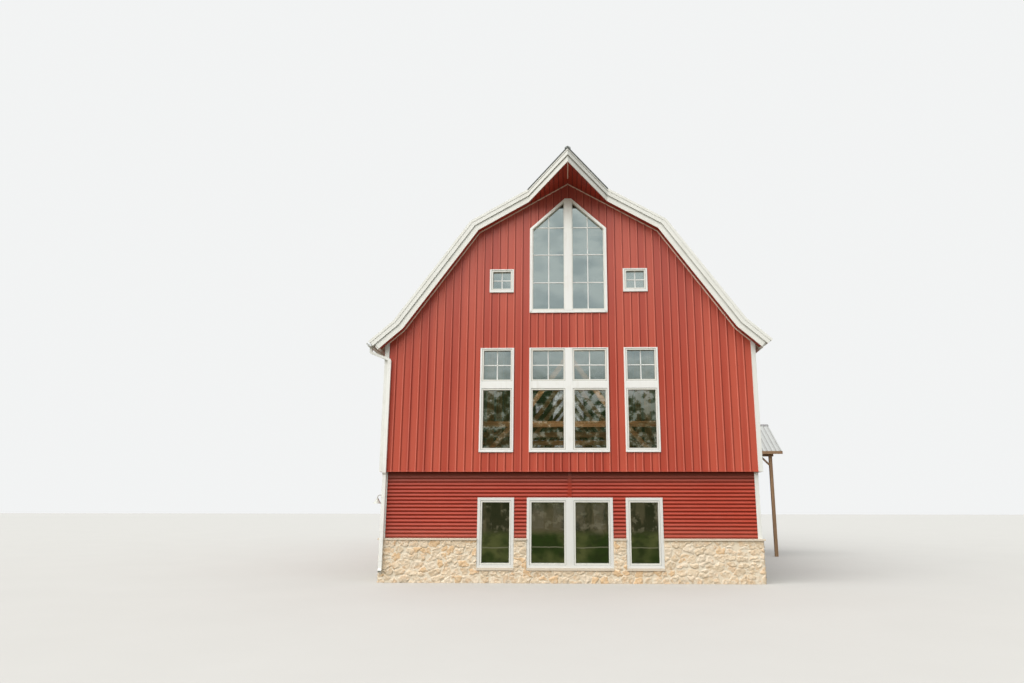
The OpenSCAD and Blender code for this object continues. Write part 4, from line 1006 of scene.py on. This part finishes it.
def door_leaf(wall, panes, bars, metal, side):
    """Panes, glazing bars, lock plate, pull and hinges of the leaf on that side of the middle."""
    foot, head = SLAB_T + DOOR_RAIL_Z + STILE, SLAB_T + DOOR_H - STILE
    u0, u1 = sorted((PORCH_Y + side * (0.001 + STILE), PORCH_Y + side * (LEAF_W - STILE)))
    wall.board(panes, u0, u1, foot, head, *PANE_OUT, DOOR_EASE)
    rim(wall, bars, u0, u1, foot, head, PANE_RIM, PANE_RIM_OUT)
    mid = (u0 + u1) / 2
    wall.board(bars, mid - DOOR_BAR_HALF, mid + DOOR_BAR_HALF, foot, head, *DOOR_BAR_OUT, DOOR_EASE)
    for k in (1, 2):
        z = foot + (head - foot) * k / 3
        wall.board(bars, u0, u1, z - DOOR_BAR_HALF, z + DOOR_BAR_HALF, *DOOR_BAR_OUT, DOOR_EASE)
    lock = PORCH_Y + side * LOCK_IN
    wall.patch(metal, lock, LOCK_Z, 0.02, 0.12, -0.001, 0.006, 0.002)
    wall.patch(metal, lock, LOCK_Z, 0.011, 0.07, 0.03, 0.045, 0.004)
    for z in (LOCK_Z - PULL_HALF, LOCK_Z + PULL_HALF):
        wall.patch(metal, lock, z, 0.008, 0.008, 0.004, 0.034, 0.002)
    for z in HINGE_ZS:
        wall.patch(metal, PORCH_Y + side * (DOOR_W / 2 - 0.004), z, 0.009, 0.05, -0.002, 0.012, 0.003)


def door_frame(casing):
    """Flat casing round the opening, with thin linings on its jambs."""
    jamb, out = DOOR_W / 2, STONE_OUT + 0.03
    top = SLAB_T + DOOR_H
    for side in (-1, 1):
        u0, u1 = sorted((PORCH_Y + side * jamb, PORCH_Y + side * (jamb + DOOR_CASING - 0.003)))
        LOW_RIGHT.board(casing, u0, u1, 0.0, top + DOOR_CASING, 0.0, out)
        u0, u1 = sorted((PORCH_Y + side * (jamb - LINING_PROUD), PORCH_Y + side * (jamb + LINING_SUNK)))
        LOW_RIGHT.board(casing, u0, u1, SLAB_T, top, LINING_BACK, out - 0.004, 0.001)
    LOW_RIGHT.board(casing, PORCH_Y - jamb, PORCH_Y + jamb, top, top + DOOR_CASING, 0.0, out)


def entrance_parts():
    panes, bars, metal, casing = Solid(), Solid(), Solid(), Solid()
    wall = Wall("y", 1, DOOR_FACE)
    for side in (-1, 1):
        door_leaf(wall, panes, bars, metal, side)
    door_frame(casing)
    panes.build("door_panes", GLASS_LOW, "glass")
    bars.build("door_pane_bars", DOOR_PAINT, "door_panel")
    metal.build("door_metalwork", STEEL, "white_metal")
    casing.build("door_casing", WHITE, "white_trim")


entrance_parts()


# Porch: a folded cap over its ridge, above the ribs of both slopes
porch_low, porch_high = corners("porch_front_roof")
PORCH_HALF, PORCH_PITCH = porch_high[1] - porch_low[1], math.radians(33.7)
PORCH_ROOF_T, PORCH_RIB_H = 0.09, 0.022
PORCH_RISE = PORCH_HALF * math.tan(PORCH_PITCH) + (PORCH_ROOF_T + PORCH_RIB_H) / math.cos(PORCH_PITCH)
PORCH_TOP_Z = porch_low[2] + PORCH_RISE
PORCH_CAP_W, PORCH_CAP_T = 0.14, 0.006


def porch_cap():
    cap = Solid()
    top, foot = PORCH_TOP_Z, PORCH_TOP_Z - PORCH_CAP_W * math.sin(PORCH_PITCH)
    for side in (-1, 1):
        edge = PORCH_Y + side * PORCH_CAP_W * math.cos(PORCH_PITCH)
        outline = ((PORCH_Y, top), (edge, foot), (edge, foot + PORCH_CAP_T), (PORCH_Y, top + PORCH_CAP_T))
        cap.loft([[(x, y, z) for y, z in outline] for x in (HALF_W + 0.03, porch_high[0])])
    cap.build("porch_ridge_cap", PORCH_CAP, "roof_metal")


porch_cap()


# Lamp: a bulb with its holder inside the shade
lamp_low, lamp_high = corners("wall_lamp")
SHADE_R = (lamp_high[1] - lamp_low[1]) / 2
LAMP_X, LAMP_Y, LAMP_TOP = lamp_low[0] + SHADE_R, lamp_low[1] + SHADE_R, 2.303
TURNS = 20

# Pairs of radius and depth under the shade's top
HOLDER = ((0.019, 0.02), (0.019, 0.062), (0.015, 0.066))
BULB_FORM = ((0.012, 0.060), (0.014, 0.070), (0.024, 0.085), (0.030, 0.102), (0.029, 0.116), (0.020, 0.129),
             (0.006, 0.134))


def turned(name, profile, mat, slot):
    """A solid of revolution about the lamp's axis."""
    solid = Solid()
    angles = [2 * math.pi * i / TURNS for i in range(TURNS)]
    solid.loft([[(LAMP_X + r * math.cos(a), LAMP_Y + r * math.sin(a), LAMP_TOP - down) for a in angles]
                for r, down in profile])
    solid.build(name, mat, slot, smooth=True)


turned("lamp_bulb", BULB_FORM, BULB, "glass")
turned("lamp_holder", HOLDER, STEEL, "white_metal")


# Light, floor and camera
def camera():
    """The photograph's camera, fitted to the barn's corners and windows."""
    place = (-0.048, -36.444, 2.10)
    focal_px, centre_px, width_px = 732.07, 543.41, 1024
    tilt, turn, roll = math.radians(12.644), math.radians(1.899), math.radians(0.071)
    level = Vector((-math.sin(turn), math.cos(turn), 0.0))
    right = Vector((math.cos(turn), math.sin(turn), 0.0))
    ahead = math.cos(tilt) * level + Vector((0.0, 0.0, math.sin(tilt)))
    up = Vector((0.0, 0.0, math.cos(tilt))) - math.sin(tilt) * level
    cos, sin = math.cos(roll), math.sin(roll)
    right, up = cos * right + sin * up, cos * up - sin * right
    data = bpy.data.cameras.new("camera")
    data.sensor_width = 36.0
    data.lens = focal_px / width_px * data.sensor_width
    data.shift_x = (width_px / 2 - centre_px) / width_px
    data.clip_end = 500.0
    obj = bpy.data.objects.new("camera", data)
    facing = Matrix((right, up, -ahead)).transposed().to_4x4()
    obj.matrix_world = Matrix.Translation(place) @ facing
    bpy.context.scene.collection.objects.link(obj)
    bpy.context.scene.camera = obj


def sun():
    """A broad soft light from high on the left in front."""
    data = bpy.data.lights.new("soft_sun", "SUN")
    data.energy = 3.0
    data.angle = math.radians(70.0)
    data.color = (1.0, 0.96, 0.91)
    obj = bpy.data.objects.new("soft_sun", data)
    obj.rotation_euler = Vector((0.38, 0.58, -0.74)).to_track_quat("-Z", "Y").to_euler()
    bpy.context.scene.collection.objects.link(obj)


# Bay, height in metres and power in watts
HALL_LAMPS = ((0.32, 6.2, 240.0), (0.5, 4.2, 25.0), (2.5, 4.2, 45.0), (4.5, 4.2, 45.0), (6.5, 4.2, 60.0))


def hall_lamps():
    """Warm lamps inside, a strong one high in the front bay, so that the frame shows through the glass."""
    for bay, height, power in HALL_LAMPS:
        data = bpy.data.lights.new("hall_lamp", "POINT")
        data.energy = power
        data.shadow_soft_size = 0.6
        data.color = (1.0, 0.80, 0.58)
        obj = bpy.data.objects.new("hall_lamp", data)
        obj.location = (0.0, -HALF_L + bay * BAY_L, height)
        obj.visible_camera = obj.visible_glossy = False
        bpy.context.scene.collection.objects.link(obj)


def sky():
    """A pale studio round the barn, brightest overhead and dim near the ground; the camera sees it plain."""
    world = bpy.data.worlds.new("studio")
    world.use_nodes = True
    made, links = world.node_tree.nodes, world.node_tree.links
    split = made.new("ShaderNodeSeparateXYZ")
    links.new(made.new("ShaderNodeTexCoord").outputs["Generated"], split.inputs[0])
    height = made.new("ShaderNodeMapRange")
    height.inputs["From Min"].default_value = -1.0
    links.new(split.outputs["Z"], height.inputs["Value"])
    ramp = made.new("ShaderNodeValToRGB")
    bands = ((0.0, (0.26, 0.25, 0.20)), (0.49, (0.34, 0.32, 0.26)), (0.51, (0.20, 0.23, 0.17)),
             (0.565, (0.30, 0.34, 0.28)), (0.60, (0.78, 0.82, 0.83)), (1.0, (1.10, 1.14, 1.16)))
    elements = ramp.color_ramp.elements
    for i, (place, tint) in enumerate(bands):
        element = elements[i] if i < 2 else elements.new(place)
        element.position = place
        element.color = tint + (1.0,)
    links.new(height.outputs["Result"], ramp.inputs["Fac"])
    lit = made["Background"]
    links.new(ramp.outputs["Color"], lit.inputs["Color"])
    seen = made.new("ShaderNodeBackground")
    seen.inputs["Color"].default_value = (0.89, 0.90, 0.90, 1.0)
    mix = made.new("ShaderNodeMixShader")
    links.new(made.new("ShaderNodeLightPath").outputs["Is Camera Ray"], mix.inputs["Fac"])
    links.new(lit.outputs[0], mix.inputs[1])
    links.new(seen.outputs[0], mix.inputs[2])
    links.new(mix.outputs[0], made["World Output"].inputs["Surface"])
    bpy.context.scene.world = world
    bpy.context.scene.view_settings.view_transform = "Standard"


def floor():
    """A pale floor that the camera sees; it throws no light or mirror image on the barn."""
    mesh = bpy.data.meshes.new("floor")
    reach = 160.0
    outline = ((-reach, -reach), (reach, -reach), (reach, reach), (-reach, reach))
    mesh.from_pydata([(x, y, 0) for x, y in outline], [], [(0, 1, 2, 3)])
    s = Shader("pale_floor", 0.9)
    s.color(s.mix(s.noise(0.4, 3.0), (0.47, 0.46, 0.44), (0.50, 0.49, 0.47)))
    mesh.materials.append(s.mat)
    obj = bpy.data.objects.new("floor", mesh)
    obj.location.z = -0.002
    obj.visible_diffuse = obj.visible_glossy = obj.visible_shadow = False
    bpy.context.scene.collection.objects.link(obj)


camera()
sun()
hall_lamps()
sky()
floor()
